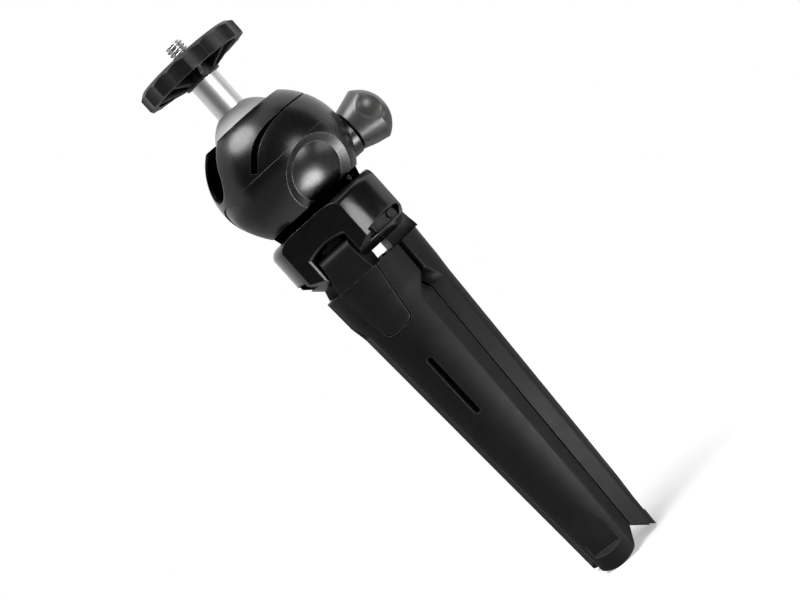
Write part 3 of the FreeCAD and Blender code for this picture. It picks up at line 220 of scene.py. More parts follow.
class Sheet(Wiring):
    """A material with a Principled shader."""

    NOISE_SPAN: Span = (0.3, 0.7)
    BEVEL_SAMPLES: int = 6
    EDGE_SPAN: Span = (0.999, 0.96)
    OPEN_SAMPLES: int = 8
    OPEN_SPAN: Span = (0.30, 0.80)
    GROOVE_REST: float = 0.04
    SKIN_MM: float = 0.04
    SUNK_REST: float = 0.03

    def __init__(self, name: str) -> None:
        """Start the material with its shader, its output and its object coordinates.

        Args:
            name: The material's name.
        """
        self.material = bpy.data.materials.new(name)
        self.material.use_nodes = True
        super().__init__(self.material.node_tree)
        self.shader = self.add("ShaderNodeBsdfPrincipled")
        self.surface = self.add("ShaderNodeOutputMaterial").inputs["Surface"]
        self.join(self.shader.outputs["BSDF"], self.surface)
        self.place = self.add("ShaderNodeTexCoord").outputs["Object"]

    def set(self, **values: float | tuple[float, ...]) -> None:
        """Set constants on the shader's sockets; an underscore stands for a space."""
        for key, value in values.items():
            self.shader.inputs[key.replace("_", " ")].default_value = value

    def noise(self, size_mm: float, detail: float = 2.0,
              stretch: tuple[float, float, float] = (1.0, 1.0, 1.0)) -> Socket:
        """Noise on object coordinates.

        Args:
            size_mm: Rough size of one grain, millimetres.
            detail: Octaves.
            stretch: Factors on the coordinates, under 1 where the grain is drawn out.

        Returns:
            The noise value, 0 to 1.
        """
        mapping = self.add("ShaderNodeMapping")
        mapping.inputs["Scale"].default_value = stretch
        self.join(self.place, mapping.inputs["Vector"])
        grain = self.add("ShaderNodeTexNoise")
        grain.inputs["Scale"].default_value = 1.0 / (size_mm * MM)
        grain.inputs["Detail"].default_value = detail
        self.join(mapping.outputs["Vector"], grain.inputs["Vector"])
        return grain.outputs["Fac"]

    def mix(self, share: Socket, low: Socket | Colour, high: Colour) -> Socket:
        """Blend two colours.

        Args:
            share: How much of the second one shows, 0 to 1.
            low: The first colour.
            high: The second one.

        Returns:
            The colour.
        """
        node = self.add("ShaderNodeMix", data_type="RGBA")
        self.join(share, node.inputs[0])
        first, second = (socket for socket in node.inputs if socket.type == "RGBA")
        if isinstance(low, Socket):
            self.join(low, first)
        else:
            first.default_value = (*low, 1.0)
        second.default_value = (*high, 1.0)
        return next(socket for socket in node.outputs if socket.type == "RGBA")

    def tint(self, value: Socket, dark: Colour, light: Colour) -> Socket:
        """Blend two colours by a noise value."""
        return self.mix(self.ramp(value, self.NOISE_SPAN, (0.0, 1.0)), dark, light)

    def roughen(self, value: Socket, span: Span) -> None:
        """Let the roughness vary over a span by a noise value."""
        self.join(self.ramp(value, self.NOISE_SPAN, span), self.shader.inputs["Roughness"])

    def soft_normal(self, radius_mm: float) -> Socket:
        """Round the surface's sharp edges.

        Args:
            radius_mm: Radius of the rounding.

        Returns:
            The direction of the rounded surface.
        """
        edge = self.add("ShaderNodeBevel", samples=self.BEVEL_SAMPLES)
        edge.inputs["Radius"].default_value = radius_mm * MM
        return edge.outputs["Normal"]

    def relief(self, height: Socket, depth_mm: float, edge_mm: float) -> None:
        """Bump from a height, over softened edges, into the shader's normal.

        Args:
            height: Height, 0 to 1.
            depth_mm: Depth of the bump.
            edge_mm: Radius that sharp edges are softened by.
        """
        bump = self.add("ShaderNodeBump")
        bump.inputs["Strength"].default_value = 1.0
        bump.inputs["Distance"].default_value = depth_mm * MM
        self.join(height, bump.inputs["Height"])
        self.join(self.soft_normal(edge_mm), bump.inputs["Normal"])
        self.join(bump.outputs["Normal"], self.shader.inputs["Normal"])

    def paint_edge_highlight(self, colour: Socket, edge_mm: float, highlight_grey: float) -> Socket:
        """Paint a highlight along sharp edges by making the colour paler there.

        Args:
            colour: The colour of plain faces.
            edge_mm: Radius within which the faces' directions are compared.
            highlight_grey: Grey level of the painted edge highlight, or 0 for none.

        Returns:
            The colour.
        """
        if not highlight_grey:
            return colour
        # Painted highlight: where the rounded normal turns away from the face's own, the colour goes
        # towards a pale grey.
        facing = self.add("ShaderNodeVectorMath", operation="DOT_PRODUCT")
        self.join(self.soft_normal(edge_mm), facing.inputs[0])
        self.join(self.add("ShaderNodeNewGeometry").outputs["Normal"], facing.inputs[1])
        share = self.ramp(facing.outputs["Value"], self.EDGE_SPAN, (0.0, 1.0), smooth=True)
        return self.mix(share, colour, grey(highlight_grey))

    def open_share(self, reach_mm: float) -> Socket:
        """How open a point of the surface is.

        Args:
            reach_mm: Distance up to which facing walls count.

        Returns:
            1 on a free face, towards 0 deep in a narrow groove.
        """
        near = self.add("ShaderNodeAmbientOcclusion", samples=self.OPEN_SAMPLES, only_local=True)
        near.inputs["Distance"].default_value = reach_mm * MM
        return self.ramp(near.outputs["AO"], self.OPEN_SPAN, (self.GROOVE_REST, 1.0), smooth=True)

    def outer_share(self, centre_z: float, radius: float, depth_mm: float) -> Socket:
        """Whether a point lies on a sphere about the centre line or in a groove sunk into it.

        Args:
            centre_z: Height of the sphere's centre, metres.
            radius: Its radius, metres.
            depth_mm: Depth at which the share has fallen.

        Returns:
            1 on the sphere, nearly 0 in the groove.
        """
        centre = self.add("ShaderNodeCombineXYZ")
        centre.inputs["Z"].default_value = centre_z
        reach = self.add("ShaderNodeVectorMath", operation="DISTANCE")
        self.join(self.place, reach.inputs[0])
        self.join(centre.outputs["Vector"], reach.inputs[1])
        depths = (radius - depth_mm * MM, radius - self.SKIN_MM * MM)
        return self.ramp(reach.outputs["Value"], depths, (self.SUNK_REST, 1.0), smooth=True)

    def paint_groove_shade(self, colour: Socket, specular: float, reach_mm: float,
              also: Socket | None = None) -> None:
        """Paint shade into narrow grooves: darken their colour and lower their specular level where
        facing walls close in.
            also: A second share to multiply by, or None.
        """
        share = self.open_share(reach_mm)
        self.set(Specular_IOR_Level=specular)
        if also is not None:
            share = self.combine("MULTIPLY", share, also)
        # Painted shade: the base colour is scaled down by how closed in the point is.
        darker = self.add("ShaderNodeVectorMath", operation="SCALE")
        self.join(colour, darker.inputs[0])
        self.join(share, darker.inputs["Scale"])
        self.join(darker.outputs["Vector"], self.shader.inputs["Base Color"])
        if specular > 0:
            level = self.combine("MULTIPLY", share, specular)
            self.join(level, self.shader.inputs["Specular IOR Level"])


@dataclass(frozen=True)
class MouldedPlastic:
    """Moulded plastic with a fine spark-eroded grain."""

    name: str
    dark: Colour
    light: Colour
    roughness: Span = (0.42, 0.52)
    grain_mm: float = 0.16
    grain_depth_mm: float = 0.012
    edge_mm: float = 0.25
    specular: float = 0.3
    groove_mm: float = 1.8
    highlight_grey: float = 0.0
    cloud_mm: float = 9.0
    wear_mm: float = 3.0

    def make(self) -> bpy.types.Material:
        """Build the material.

        Returns:
            The material.
        """
        sheet = Sheet(self.name)
        colour = sheet.tint(sheet.noise(self.cloud_mm, detail=3.0), self.dark, self.light)
        # Painted highlights on sharp edges and painted shade in narrow grooves.
        sheet.paint_groove_shade(sheet.paint_edge_highlight(colour, self.edge_mm, self.highlight_grey), self.specular, self.groove_mm)
        sheet.roughen(sheet.noise(self.wear_mm, detail=4.0), self.roughness)
        sheet.relief(sheet.noise(self.grain_mm, detail=3.0), self.grain_depth_mm, self.edge_mm)
        return sheet.material


@dataclass(frozen=True)
class GlossCoat:
    """Glossy black coat with a trace of orange peel.

    sphere is the centre's height and the radius of a round body whose sunk grooves get painted
    shade, metres.
    """

    name: str
    dark: Colour
    light: Colour
    roughness: Span
    peel_mm: float
    edge_mm: float
    highlight_grey: float
    sphere: Span | None = None
    peel_depth_mm: float = 0.0012
    specular: float = 0.5
    groove_mm: float = 1.6
    sunk_mm: float = 0.3
    cloud_mm: float = 6.0
    wear_mm: float = 2.2

    def make(self) -> bpy.types.Material:
        """Build the material.

        Returns:
            The material.
        """
        sheet = Sheet(self.name)
        # Painted shade: grooves sunk below the round body go nearly black.
        outer = sheet.outer_share(*self.sphere, self.sunk_mm) if self.sphere else None
        colour = sheet.tint(sheet.noise(self.cloud_mm), self.dark, self.light)
        # Painted highlights on sharp edges, then painted shade in narrow grooves.
        highlighted = sheet.paint_edge_highlight(colour, self.edge_mm, self.highlight_grey)
        sheet.paint_groove_shade(highlighted, self.specular, self.groove_mm, outer)
        sheet.roughen(sheet.noise(self.wear_mm, detail=5.0), self.roughness)
        sheet.relief(sheet.noise(self.peel_mm), self.peel_depth_mm, self.edge_mm)
        return sheet.material


@dataclass(frozen=True)
class TurnedMetal:
    """Bare metal off a lathe, with fine rings round the Z axis.

    grain_stretch draws a grain of grain_mm out into rings 0.12 mm high.
    """

    name: str
    dark: Colour
    light: Colour
    roughness: Span
    anisotropy: float = 0.4
    metallic: float = 1.0
    grain_mm: float = 1.44
    grain_stretch: tuple[float, float, float] = (0.08, 0.08, 12.0)
    ring_depth_mm: float = 0.004
    edge_mm: float = 0.2

    def make(self) -> bpy.types.Material:
        """Build the material.

        Returns:
            The material.
        """
        sheet = Sheet(self.name)
        rings = sheet.noise(self.grain_mm, detail=3.0, stretch=self.grain_stretch)
        colour = sheet.tint(rings, self.dark, self.light)
        sheet.join(colour, sheet.shader.inputs["Base Color"])
        sheet.roughen(rings, self.roughness)
        sheet.relief(rings, self.ring_depth_mm, self.edge_mm)
        sheet.set(Metallic=self.metallic, Anisotropic=self.anisotropy)
        return sheet.material


@dataclass(frozen=True)
class Rubber:
    """Soft black rubber with a dull, slightly dusty skin."""

    name: str
    dark: Colour
    light: Colour
    roughness: Span = (0.65, 0.85)
    cloud_mm: float = 1.5
    wear_mm: float = 0.8
    grain_mm: float = 0.3
    grain_depth_mm: float = 0.02
    edge_mm: float = 0.2

    def make(self) -> bpy.types.Material:
        """Build the material.

        Returns:
            The material.
        """
        sheet = Sheet(self.name)
        colour = sheet.tint(sheet.noise(self.cloud_mm, detail=4.0), self.dark, self.light)
        sheet.join(colour, sheet.shader.inputs["Base Color"])
        sheet.roughen(sheet.noise(self.wear_mm, detail=3.0), self.roughness)
        sheet.relief(sheet.noise(self.grain_mm, detail=4.0), self.grain_depth_mm, self.edge_mm)
        return sheet.material


class Finish(Enum):
    """The tripod's finishes."""

    # Each finish's edge grey level is a painted highlight on its sharp edges.
    HUB = GlossCoat("hub_gloss_black", grey(0.003), grey(0.005), (0.17, 0.22),
                    peel_mm=1.6, edge_mm=0.35, highlight_grey=0.045)
    HOUSING = GlossCoat("housing_satin_black", grey(0.002), grey(0.004), (0.24, 0.29),
                        peel_mm=0.9, edge_mm=0.25, highlight_grey=0.018)
    GROOVED = GlossCoat("grooved_satin_black", grey(0.002), grey(0.004), (0.24, 0.29),
                        peel_mm=0.9, edge_mm=0.25, highlight_grey=0.018, sphere=(166.6 * MM, 24.2 * MM))
    ARM = MouldedPlastic("arm_satin_black", grey(0.006), grey(0.009), (0.40, 0.48),
                         grain_mm=0.2, grain_depth_mm=0.008, edge_mm=0.5, specular=0.2, highlight_grey=0.035)
    LEG = MouldedPlastic("leg_matt_black", grey(0.007), grey(0.0105), (0.46, 0.56),
                         edge_mm=0.45, specular=0.10, groove_mm=2.4, highlight_grey=0.06)
    # Black plastic, made darker still and without reflections as painted shade under the housing.
    RING = MouldedPlastic("ring_black", grey(0.0005), grey(0.001), (0.5, 0.6),
                          grain_depth_mm=0.008, edge_mm=0.1, specular=0.0)
    KNOB = MouldedPlastic("knob_dark_grey", (0.054, 0.054, 0.052), (0.076, 0.076, 0.073),
                          (0.26, 0.36), grain_mm=0.2, grain_depth_mm=0.008, edge_mm=0.15,
                          specular=0.6, groove_mm=0.5, highlight_grey=0.18)
    # Its wide groove reach spreads the painted shade over its hollows, such as the underside between
    # the ribs.
    DISC = MouldedPlastic("disc_dark_grey", grey(0.007), grey(0.012), (0.36, 0.46),
                          grain_mm=0.2, grain_depth_mm=0.010, edge_mm=0.2, specular=0.3,
                          groove_mm=6.0, highlight_grey=0.06)
    CUP = MouldedPlastic("cup_pale_plastic", (0.5, 0.5, 0.48), (0.56, 0.56, 0.54))
    BRIGHT = TurnedMetal("stem_bright_metal", grey(0.74), grey(0.80), (0.38, 0.46))
    BLASTED = TurnedMetal("ball_blasted_metal", grey(0.68), grey(0.73), (0.58, 0.68),
                          anisotropy=0.0, metallic=0.15)
    STEEL = TurnedMetal("screw_steel", (0.62, 0.62, 0.61), (0.76, 0.76, 0.74), (0.26, 0.36))
    DARK_STEEL = TurnedMetal("black_oxide_steel", grey(0.045), (0.075, 0.075, 0.072), (0.30, 0.42))
    PIN = TurnedMetal("pin_black_steel", grey(0.018), (0.030, 0.030, 0.029), (0.34, 0.46))
    RUBBER = Rubber("pad_rubber", grey(0.010), grey(0.018))


@dataclass
class Dresser:
    """Makes each finish once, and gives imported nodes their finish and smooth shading."""

    crease_deg: float = 32.0
    made: dict[Finish, bpy.types.Material] = field(default_factory=dict)

    def material(self, finish: Finish) -> bpy.types.Material:
        """Look a finish's material up, and make it at its first use.

        Args:
            finish: The finish.

        Returns:
            Its material.
        """
        if finish not in self.made:
            self.made[finish] = finish.value.make()
        return self.made[finish]

    def smoother(self) -> bpy.types.NodeTree:
        """Geometry nodes that shade smooth but keep edges sharper than the crease angle.

        Returns:
            The node group, made once.
        """
        name = "smooth_up_to_crease"
        if name in bpy.data.node_groups:
            return bpy.data.node_groups[name]
        group = bpy.data.node_groups.new(name, "GeometryNodeTree")
        for way in ("INPUT", "OUTPUT"):
            group.interface.new_socket("Geometry", in_out=way, socket_type="NodeSocketGeometry")
        start = group.nodes.new("NodeGroupInput")
        end = group.nodes.new("NodeGroupOutput")
        angle = group.nodes.new("GeometryNodeInputMeshEdgeAngle")
        test = group.nodes.new("FunctionNodeCompare")
        test.operation = "LESS_THAN"
        test.inputs["B"].default_value = math.radians(self.crease_deg)
        faces = group.nodes.new("GeometryNodeSetShadeSmooth")
        faces.domain = "FACE"
        edges = group.nodes.new("GeometryNodeSetShadeSmooth")
        edges.domain = "EDGE"
        group.links.new(angle.outputs["Unsigned Angle"], test.inputs["A"])
        group.links.new(test.outputs["Result"], edges.inputs["Shade Smooth"])
        group.links.new(start.outputs[0], faces.inputs["Geometry"])
        group.links.new(faces.outputs["Geometry"], edges.inputs["Geometry"])
        group.links.new(edges.outputs["Geometry"], end.inputs[0])
        return group

    def dress(self, finish: Finish, *names: str) -> None:
        """Give nodes a finish.

        Args:
            finish: The finish.
            names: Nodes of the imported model.
        """
        for name in names:
            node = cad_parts[name]
            for slot in node.material_slots:
                slot.link = "OBJECT"
                slot.material = self.material(finish)
            weld(node)
            node.modifiers.new("smooth", "NODES").node_group = self.smoother()
            LOG.info("%s dressed as %s", name, finish.value.name)


@dataclass
class CameraScrew:
    """Threaded stud, standard 1/4 inch with 20 threads to the inch."""

    major_r: float = 3.175 * MM
    minor_r: float = 2.5 * MM
    pitch: float = 1.27 * MM
    low_z: float = 194.9 * MM
    thread_z: float = 210.8 * MM
    top_z: float = 218.19 * MM
    shank_gap: float = 0.2 * MM
    tip_chamfer: float = 0.75 * MM
    root_share: float = 0.12
    flank_share: float = 0.70
    around: int = 96
    rows_per_pitch: int = 12

    def mesh(self) -> bpy.types.Mesh:
        """Surface of the stud.

        The radius is minor + (major - minor) * w, where w is a trapezoid wave of height over pitch
        minus turn over 2 pi, and 1 on the plain shank below the thread; near the tip the radius is
        capped by a 45 degree cone. The first and last rows shrink to the axis, which closes the
        ends.

        Returns:
            The mesh.
        """
        rows = int((self.top_z - self.thread_z) / self.pitch * self.rows_per_pitch)
        shank = [self.low_z, self.low_z, self.thread_z - self.shank_gap]
        thread = np.linspace(self.thread_z, self.top_z, rows)
        turn = np.arange(self.around) / self.around
        z, u = np.meshgrid(np.concatenate([shank, thread, [self.top_z]]), turn, indexing="ij")
        ramp = np.abs(np.mod(z / self.pitch - u, 1.0) - 0.5) * 2
        wave = np.clip((ramp - self.root_share) / self.flank_share, 0.0, 1.0)
        wave = np.where(z < self.thread_z, 1.0, wave)
        cone = self.major_r - np.clip(z - (self.top_z - self.tip_chamfer), 0.0, None)
        radius = np.minimum(self.minor_r + (self.major_r - self.minor_r) * wave, cone)
        radius[[0, -1]] = 0.0
        return grid_mesh("camera_thread", lathe_points(radius, z, 2 * np.pi * u))

    def build(self, finish: bpy.types.Material) -> bpy.types.Object:
        """Make the stud and let it stand for the plain one.

        Args:
            finish: Its material.

        Returns:
            The piece.
        """
        stud = piece("camera_thread", self.mesh(), finish)
        weld(stud)
        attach(stud, Body.STEM.value)
        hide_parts("camera_screw")
        return stud


@dataclass
class DiscPad:
    """Rubber ring in the disc's top, with round ridges that grip the camera."""

    inner_r: float = 6.0 * MM
    outer_r: float = 16.6 * MM
    low_z: float = 211.6 * MM
    top_z: float = 212.4 * MM
    ridge_count: int = 7
    ridge_depth: float = 0.22 * MM
    around: int = 128
    rows_per_ridge: int = 12

    def mesh(self) -> bpy.types.Mesh:
        """Surface of the ring.

        The top's height is top_z less ridge_depth times (1 + cos(2 pi ridge_count share)) / 2,
        where share runs from 0 at the outer edge to 1 at the inner one. Straight walls and a flat
        underside close it, and the last row lies on the first.

        Returns:
            The mesh.
        """
        share = np.linspace(0.0, 1.0, self.ridge_count * self.rows_per_ridge + 1)
        top_r = self.outer_r + (self.inner_r - self.outer_r) * share
        dip = self.ridge_depth * (1 + np.cos(2 * np.pi * self.ridge_count * share)) / 2
        radius = np.concatenate([[self.inner_r, self.outer_r], top_r, [self.inner_r]])
        height = np.concatenate([[self.low_z, self.low_z], self.top_z - dip, [self.low_z]])
        angle = 2 * np.pi * np.arange(self.around) / self.around
        return grid_mesh("ribbed_pad", lathe_points(radius[:, None], height[:, None], angle))

    def build(self, finish: bpy.types.Material) -> bpy.types.Object:
        """Make the ring and let it stand for the plain one.

        Args:
            finish: Its material.

        Returns:
            The piece.
        """
        pad = piece("ribbed_pad", self.mesh(), finish)
        weld(pad)
        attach(pad, Body.DISC.value)
        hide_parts("disc_pad")
        return pad


@dataclass
class LockKnob:
    """Three-lobed knob: a straight flare, a domed end and three crisp hollows for the fingers."""

    azimuth_deg: float = 125.0
    axis_z: float = 160.1 * MM
    base_s: float = 24.5 * MM
    length: float = 14.9 * MM
    base_r: float = 7.3 * MM
    widest: float = 8.4 * MM
    widest_r: float = 10.0 * MM
    bore_r: float = 2.2 * MM
    bore_end: float = 8.5 * MM
    hollow_count: int = 3
    hollow_r: float = 8.4 * MM
    hollow_out: float = 15.3 * MM
    hollow_along: float = 9.0 * MM
    first_hollow_deg: float = 12.0
    around: int = 300
    flare_rows: int = 70
    dome_rows: int = 120

    def profile(self) -> tuple[np.ndarray, np.ndarray]:
        """Outline of the knob before the hollows.

        From the base a straight line widens to the widest ring. From there a circle through the
        ring and the tip, centred on the axis, closes the end: with a the widest ring's distance,
        l the length and w its radius, the centre lies at (l^2 - a^2 - w^2) / (2 (l - a)).

        Returns:
            Distances along the axis and radii.
        """
        squares = self.length ** 2 - self.widest ** 2 - self.widest_r ** 2
        centre = squares / (2 * (self.length - self.widest))
        round_r = self.length - centre
        start = math.atan2(self.widest_r, self.widest - centre)
        share = np.linspace(0.0, 1.0, self.flare_rows)
        angle = np.linspace(start, 0.0, self.dome_rows)
        flare = self.base_r + (self.widest_r - self.base_r) * share
        along = np.concatenate([self.widest * share, centre + round_r * np.cos(angle)])
        return along, np.concatenate([flare, round_r * np.sin(angle)])

    def mesh(self) -> bpy.types.Mesh:
        """Surface of the knob.

        A point at distance u along the axis and angle f from a hollow's middle lies at the radius
        min(outline, D cos f - sqrt(R^2 - (u - c)^2 - D^2 sin^2 f)), where R is the hollow's
        radius, D its centre's distance from the axis and c its place along it; where the root is
        not real, the outline stands. The base is closed as far as the bore, and the bore by its
        own wall and end.

        Returns:
            The mesh.
        """
        along, out = self.profile()
        turn = 2 * np.pi * np.arange(self.around) / self.around
        u, angle = np.meshgrid(along, turn, indexing="ij")
        radius = np.repeat(out[:, None], self.around, axis=1)
        for number in range(self.hollow_count):
            middle = self.first_hollow_deg + 360 / self.hollow_count * number
            away = angle - math.radians(middle)
            square = (self.hollow_r ** 2 - (u - self.hollow_along) ** 2
                      - (self.hollow_out * np.sin(away)) ** 2)
            inner = self.hollow_out * np.cos(away) - np.sqrt(np.clip(square, 0.0, None))
            inside = (square > 0) & (np.cos(away) > 0)
            radius = np.where(inside, np.minimum(radius, inner), radius)
        ring = np.ones((1, self.around))
        u = np.concatenate([ring * self.bore_end, ring * self.bore_end, ring * 0.0, u])
        radius = np.concatenate([ring * 0.0, ring * self.bore_r, ring * self.bore_r, radius])
        angle = np.concatenate([angle[:3], angle])
        turned = math.radians(self.azimuth_deg)
        forward = np.array([math.sin(turned), -math.cos(turned), 0.0])
        front = np.array([-math.cos(turned), -math.sin(turned), 0.0])
        up = np.array([0.0, 0.0, 1.0])
        points = (forward * (self.base_s + u)[..., None] + up * self.axis_z
                  + (radius * np.cos(angle))[..., None] * front
                  + (radius * np.sin(angle))[..., None] * up)
        return grid_mesh("lobed_knob", points[:, ::-1])

    def build(self, finish: bpy.types.Material) -> bpy.types.Object:
        """Make the knob and let it stand for the plain one.

        Args:
            finish: Its material.

        Returns:
            The piece.
        """
        knob = piece("lobed_knob", self.mesh(), finish)
        weld(knob)
        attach(knob, Body.KNOB.value)
        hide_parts("lock_knob")
        return knob


@dataclass(frozen=True)
class Softbox:
    """Oval lamp that faces the tripod.

    side, height and out are its place from the foot of the centre line: to the camera's right, up
    and towards the camera. A mirrored_only lamp shows in reflections but doesn't light matt
    surfaces.
    """

    name: str
    side: float
    height: float
    out: float
    size: tuple[float, float]
    power: float
    mirrored_only: bool = False
    aim_height: float = 0.15

    def build(self, forward: Vector, right: Vector) -> bpy.types.Object:
        """Place the lamp.

        Args:
            forward: Unit vector from the centre line to the camera.
            right: Unit vector to the camera's right.

        Returns:
            The lamp.
        """
        at = right * self.side + forward * self.out + Vector((0, 0, self.height))
        data = bpy.data.lights.new(self.name, "AREA")
        data.shape = "ELLIPSE"
        data.size, data.size_y = self.size
        data.energy = self.power
        made = bpy.data.objects.new(self.name, data)
        made.visible_camera = False
        made.visible_diffuse = not self.mirrored_only
        aim = Vector((0, 0, self.aim_height)) - at
        turn = aim.to_track_quat("-Z", "Y").to_matrix().to_4x4()
        made.matrix_world = Matrix.Translation(at) @ turn
        bpy.context.scene.collection.objects.link(made)
        return made


@dataclass(frozen=True)
class Card:
    """Curved grey card round the tripod, which the black finishes mirror.

    It is part of an upright cylinder about the centre line. Its ends are in degrees from the
    camera's direction to the right. The camera doesn't see it.
    """

    name: str
    from_deg: float
    to_deg: float
    glow: float
    radius: float = 1.6
    low: float = 0.002
    high: float = 2.4
    paper_grey: float = 0.03
    columns: int = 49
    rows: int = 5

    def paper(self) -> bpy.types.Material:
        """Make dark paper with an even glow.

        Returns:
            The material.
        """
        sheet = Sheet(self.name + "_paper")
        sheet.set(Roughness=1.0, Specular_IOR_Level=0.0, Base_Color=(*grey(self.paper_grey), 1.0),
                  Emission_Color=WHITE, Emission_Strength=self.glow)
        return sheet.material

    def build(self, forward: Vector, right: Vector) -> bpy.types.Object:
        """Stand the card up.

        Its points are radius times the unit vector at an angle from the camera's direction, at
        heights from low to high.

        Args:
            forward: Unit vector from the centre line to the camera.
            right: Unit vector to the camera's right.

        Returns:
            The card.
        """
        angle = np.radians(np.linspace(self.from_deg, self.to_deg, self.columns))
        height = np.linspace(self.low, self.high, self.rows)
        z, turn = np.meshgrid(height, angle, indexing="ij")
        flat = (np.cos(turn)[..., None] * np.array(forward)
                + np.sin(turn)[..., None] * np.array(right))
        points = flat * self.radius
        points[..., 2] = z
        made = piece(self.name, grid_mesh(self.name, points, wrap_u=False), self.paper())
        made.visible_camera = False
        return made


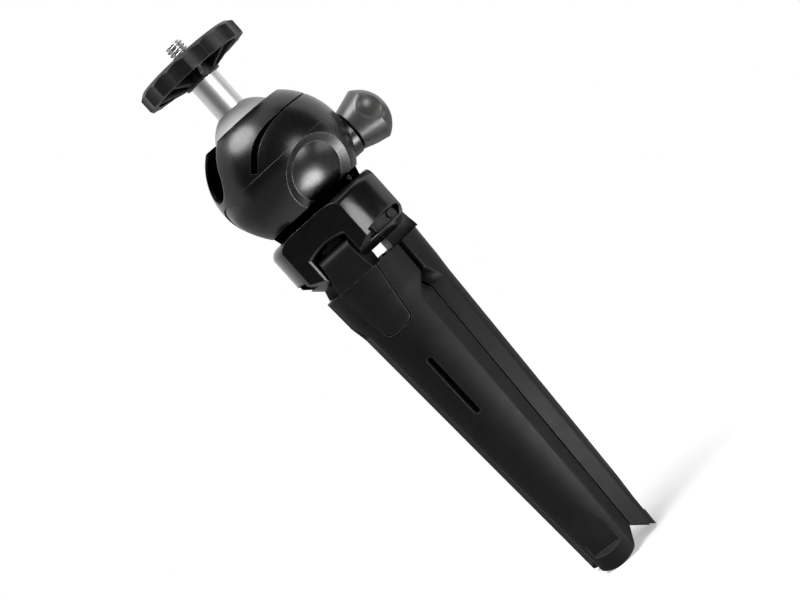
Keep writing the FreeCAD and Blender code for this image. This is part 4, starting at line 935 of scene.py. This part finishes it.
@dataclass
class Studio:
    """White floor, soft lamps and the camera of the photograph."""

    camera_azimuth_deg: float = 21.0
    camera_distance: float = 0.66
    camera_height: float = 0.145
    aim_height: float = 0.1092
    aim_side: float = -0.0005
    roll_deg: float = 42.0
    lens_mm: float = 92.8
    sensor_mm: float = 36.0
    near_clip: float = 0.01
    fill_level: float = 0.3
    floor_size: float = 6.0
    floor_white: float = 0.8
    floor_glow: float = 0.42
    floor_mirror: float = 0.35
    floor_fade: Span = (0.06, 0.30)
    cards: tuple[Card, ...] = (
        Card("front_card", -72.0, 99.0, 0.06),
        Card("left_card", -125.0, -72.5, 0.75),
    )
    lamps: tuple[Softbox, ...] = (
        Softbox("key_above", -0.25, 1.15, 0.30, (0.75, 0.62), 12.5),
        Softbox("strip_right", 0.57, 0.16, 0.75, (0.46, 0.42), 4.3),
        Softbox("front_low", 0.056, 0.004, 0.090, (0.13, 0.13), 0.78, True),
        Softbox("right_low", 0.42, 0.03, 0.03, (0.34, 0.16), 0.40, True),
    )

    def axes(self) -> tuple[Vector, Vector]:
        """Work out the directions that lamps, cards and camera are placed by.

        Returns:
            Unit vectors from the centre line to the camera and to the camera's right.
        """
        turn = math.radians(self.camera_azimuth_deg)
        forward = Vector((math.sin(turn), -math.cos(turn), 0.0))
        right = Vector((math.cos(turn), math.sin(turn), 0.0))
        return forward, right

    def camera(self) -> bpy.types.Object:
        """Place the camera, rolled so that the tripod leans to the upper left.

        Returns:
            The camera object.
        """
        forward, side = self.axes()
        eye = forward * self.camera_distance + Vector((0, 0, self.camera_height))
        aim = side * self.aim_side + Vector((0, 0, self.aim_height))
        back = (eye - aim).normalized()
        level = Vector((0, 0, 1)).cross(back).normalized()
        lift = back.cross(level)
        roll = math.radians(self.roll_deg)
        right = level * math.cos(roll) - lift * math.sin(roll)
        up = level * math.sin(roll) + lift * math.cos(roll)
        data = bpy.data.cameras.new("photo_camera")
        data.lens = self.lens_mm
        data.sensor_width = self.sensor_mm
        data.clip_start = self.near_clip
        made = bpy.data.objects.new("photo_camera", data)
        turn = Matrix((right, up, back)).transposed().to_4x4()
        made.matrix_world = Matrix.Translation(eye) @ turn
        bpy.context.scene.collection.objects.link(made)
        bpy.context.scene.camera = made
        return made

    def world(self) -> None:
        """White where it is looked at or mirrored, a soft grey fill for the rest."""
        world = bpy.data.worlds.new("studio")
        bpy.context.scene.world = world
        world.use_nodes = True
        wiring = Wiring(world.node_tree)
        level = wiring.combine("MAXIMUM", wiring.background_rays(), self.fill_level)
        background = wiring.add("ShaderNodeBackground")
        background.inputs["Color"].default_value = WHITE
        wiring.join(level, background.inputs["Strength"])
        output = wiring.add("ShaderNodeOutputWorld")
        wiring.join(background.outputs[0], output.inputs["Surface"])

    def floor_finish(self) -> bpy.types.Material:
        """Matt white that takes the shadow, and with the distance the white of the background.

        Returns:
            The material.
        """
        sheet = Sheet("floor_white")
        sheet.set(Roughness=1.0, Specular_IOR_Level=0.0, Emission_Color=WHITE,
                  Base_Color=(*grey(self.floor_white), 1.0))
        seen = sheet.add("ShaderNodeLightPath").outputs["Is Camera Ray"]
        glow = sheet.combine("MULTIPLY", seen, self.floor_glow)
        sheet.join(glow, sheet.shader.inputs["Emission Strength"])
        level = sheet.ramp(seen, (0.0, 1.0), (self.floor_mirror, 1.0))
        far = sheet.add("ShaderNodeEmission")
        sheet.join(sheet.combine("MULTIPLY", sheet.background_rays(), level), far.inputs["Strength"])
        distance = sheet.add("ShaderNodeVectorMath", operation="LENGTH")
        sheet.join(sheet.place, distance.inputs[0])
        share = sheet.ramp(distance.outputs["Value"], self.floor_fade, (0.0, 1.0), smooth=True)
        both = sheet.add("ShaderNodeMixShader")
        sheet.join(share, both.inputs["Fac"])
        sheet.join(sheet.shader.outputs["BSDF"], both.inputs[1])
        sheet.join(far.outputs["Emission"], both.inputs[2])
        sheet.join(both.outputs["Shader"], sheet.surface)
        return sheet.material

    def floor(self) -> bpy.types.Object:
        """Lay the white floor under the soles.

        Returns:
            The floor object.
        """
        half = self.floor_size / 2
        corners = [(-half, -half, 0), (half, -half, 0), (half, half, 0), (-half, half, 0)]
        mesh = bpy.data.meshes.new("floor")
        mesh.from_pydata(corners, [], [(0, 1, 2, 3)])
        made = piece("floor", mesh, self.floor_finish())
        return made

    def build(self) -> None:
        """Set up the whole studio."""
        bpy.context.scene.view_settings.view_transform = "Standard"
        self.camera()
        self.world()
        self.floor()
        for part in (*self.cards, *self.lamps):
            part.build(*self.axes())


@dataclass
class Head:
    """Ball head: housing halves, ball, stem, disc, knob and neck ring."""

    dresser: Dresser

    def build(self) -> None:
        """Dress the head's nodes and add its thread, pad and knob."""
        dress = self.dresser.dress
        dress(Finish.HOUSING, "lower_housing")
        dress(Finish.GROOVED, "upper_housing")
        # The ring finish paints shade on the neck ring and the knob collar.
        dress(Finish.RING, "neck_ring", "knob_collar")
        dress(Finish.BLASTED, "ball")
        dress(Finish.BRIGHT, "stem")
        dress(Finish.DISC, "locking_disc")
        dress(Finish.KNOB, "lock_knob")
        dress(Finish.RUBBER, "disc_pad")
        dress(Finish.CUP, "pressure_cup")
        dress(Finish.STEEL, "lock_screw", "camera_screw")
        dress(Finish.DARK_STEEL, "housing_screws", "neck_set_screw", "base_bolt")
        CameraScrew().build(self.dresser.material(Finish.STEEL))
        DiscPad().build(self.dresser.material(Finish.RUBBER))
        LockKnob().build(self.dresser.material(Finish.KNOB))


@dataclass
class Legs:
    """Hub, pins, arms and the moulded legs."""

    dresser: Dresser
    count: int = 3

    def build(self) -> None:
        """Dress the nodes of the hub and of each leg."""
        dress = self.dresser.dress
        dress(Finish.HUB, "leg_hub")
        for number in range(1, self.count + 1):
            dress(Finish.ARM, f"leg_arm_{number}")
            dress(Finish.LEG, f"leg_shell_{number}")
            dress(Finish.RUBBER, f"foot_pad_{number}")
            dress(Finish.DARK_STEEL, f"leg_screws_{number}")
            dress(Finish.PIN, f"hinge_pin_{number}")


def main() -> None:
    """Build the studio and dress the tripod."""
    logging.basicConfig(level=logging.INFO, format="%(name)s %(message)s")
    Studio().build()
    LOG.info("studio ready")
    dresser = Dresser()
    Head(dresser).build()
    LOG.info("head dressed")
    Legs(dresser).build()
    LOG.info("legs dressed")


if __name__ == "__main__":
    main()
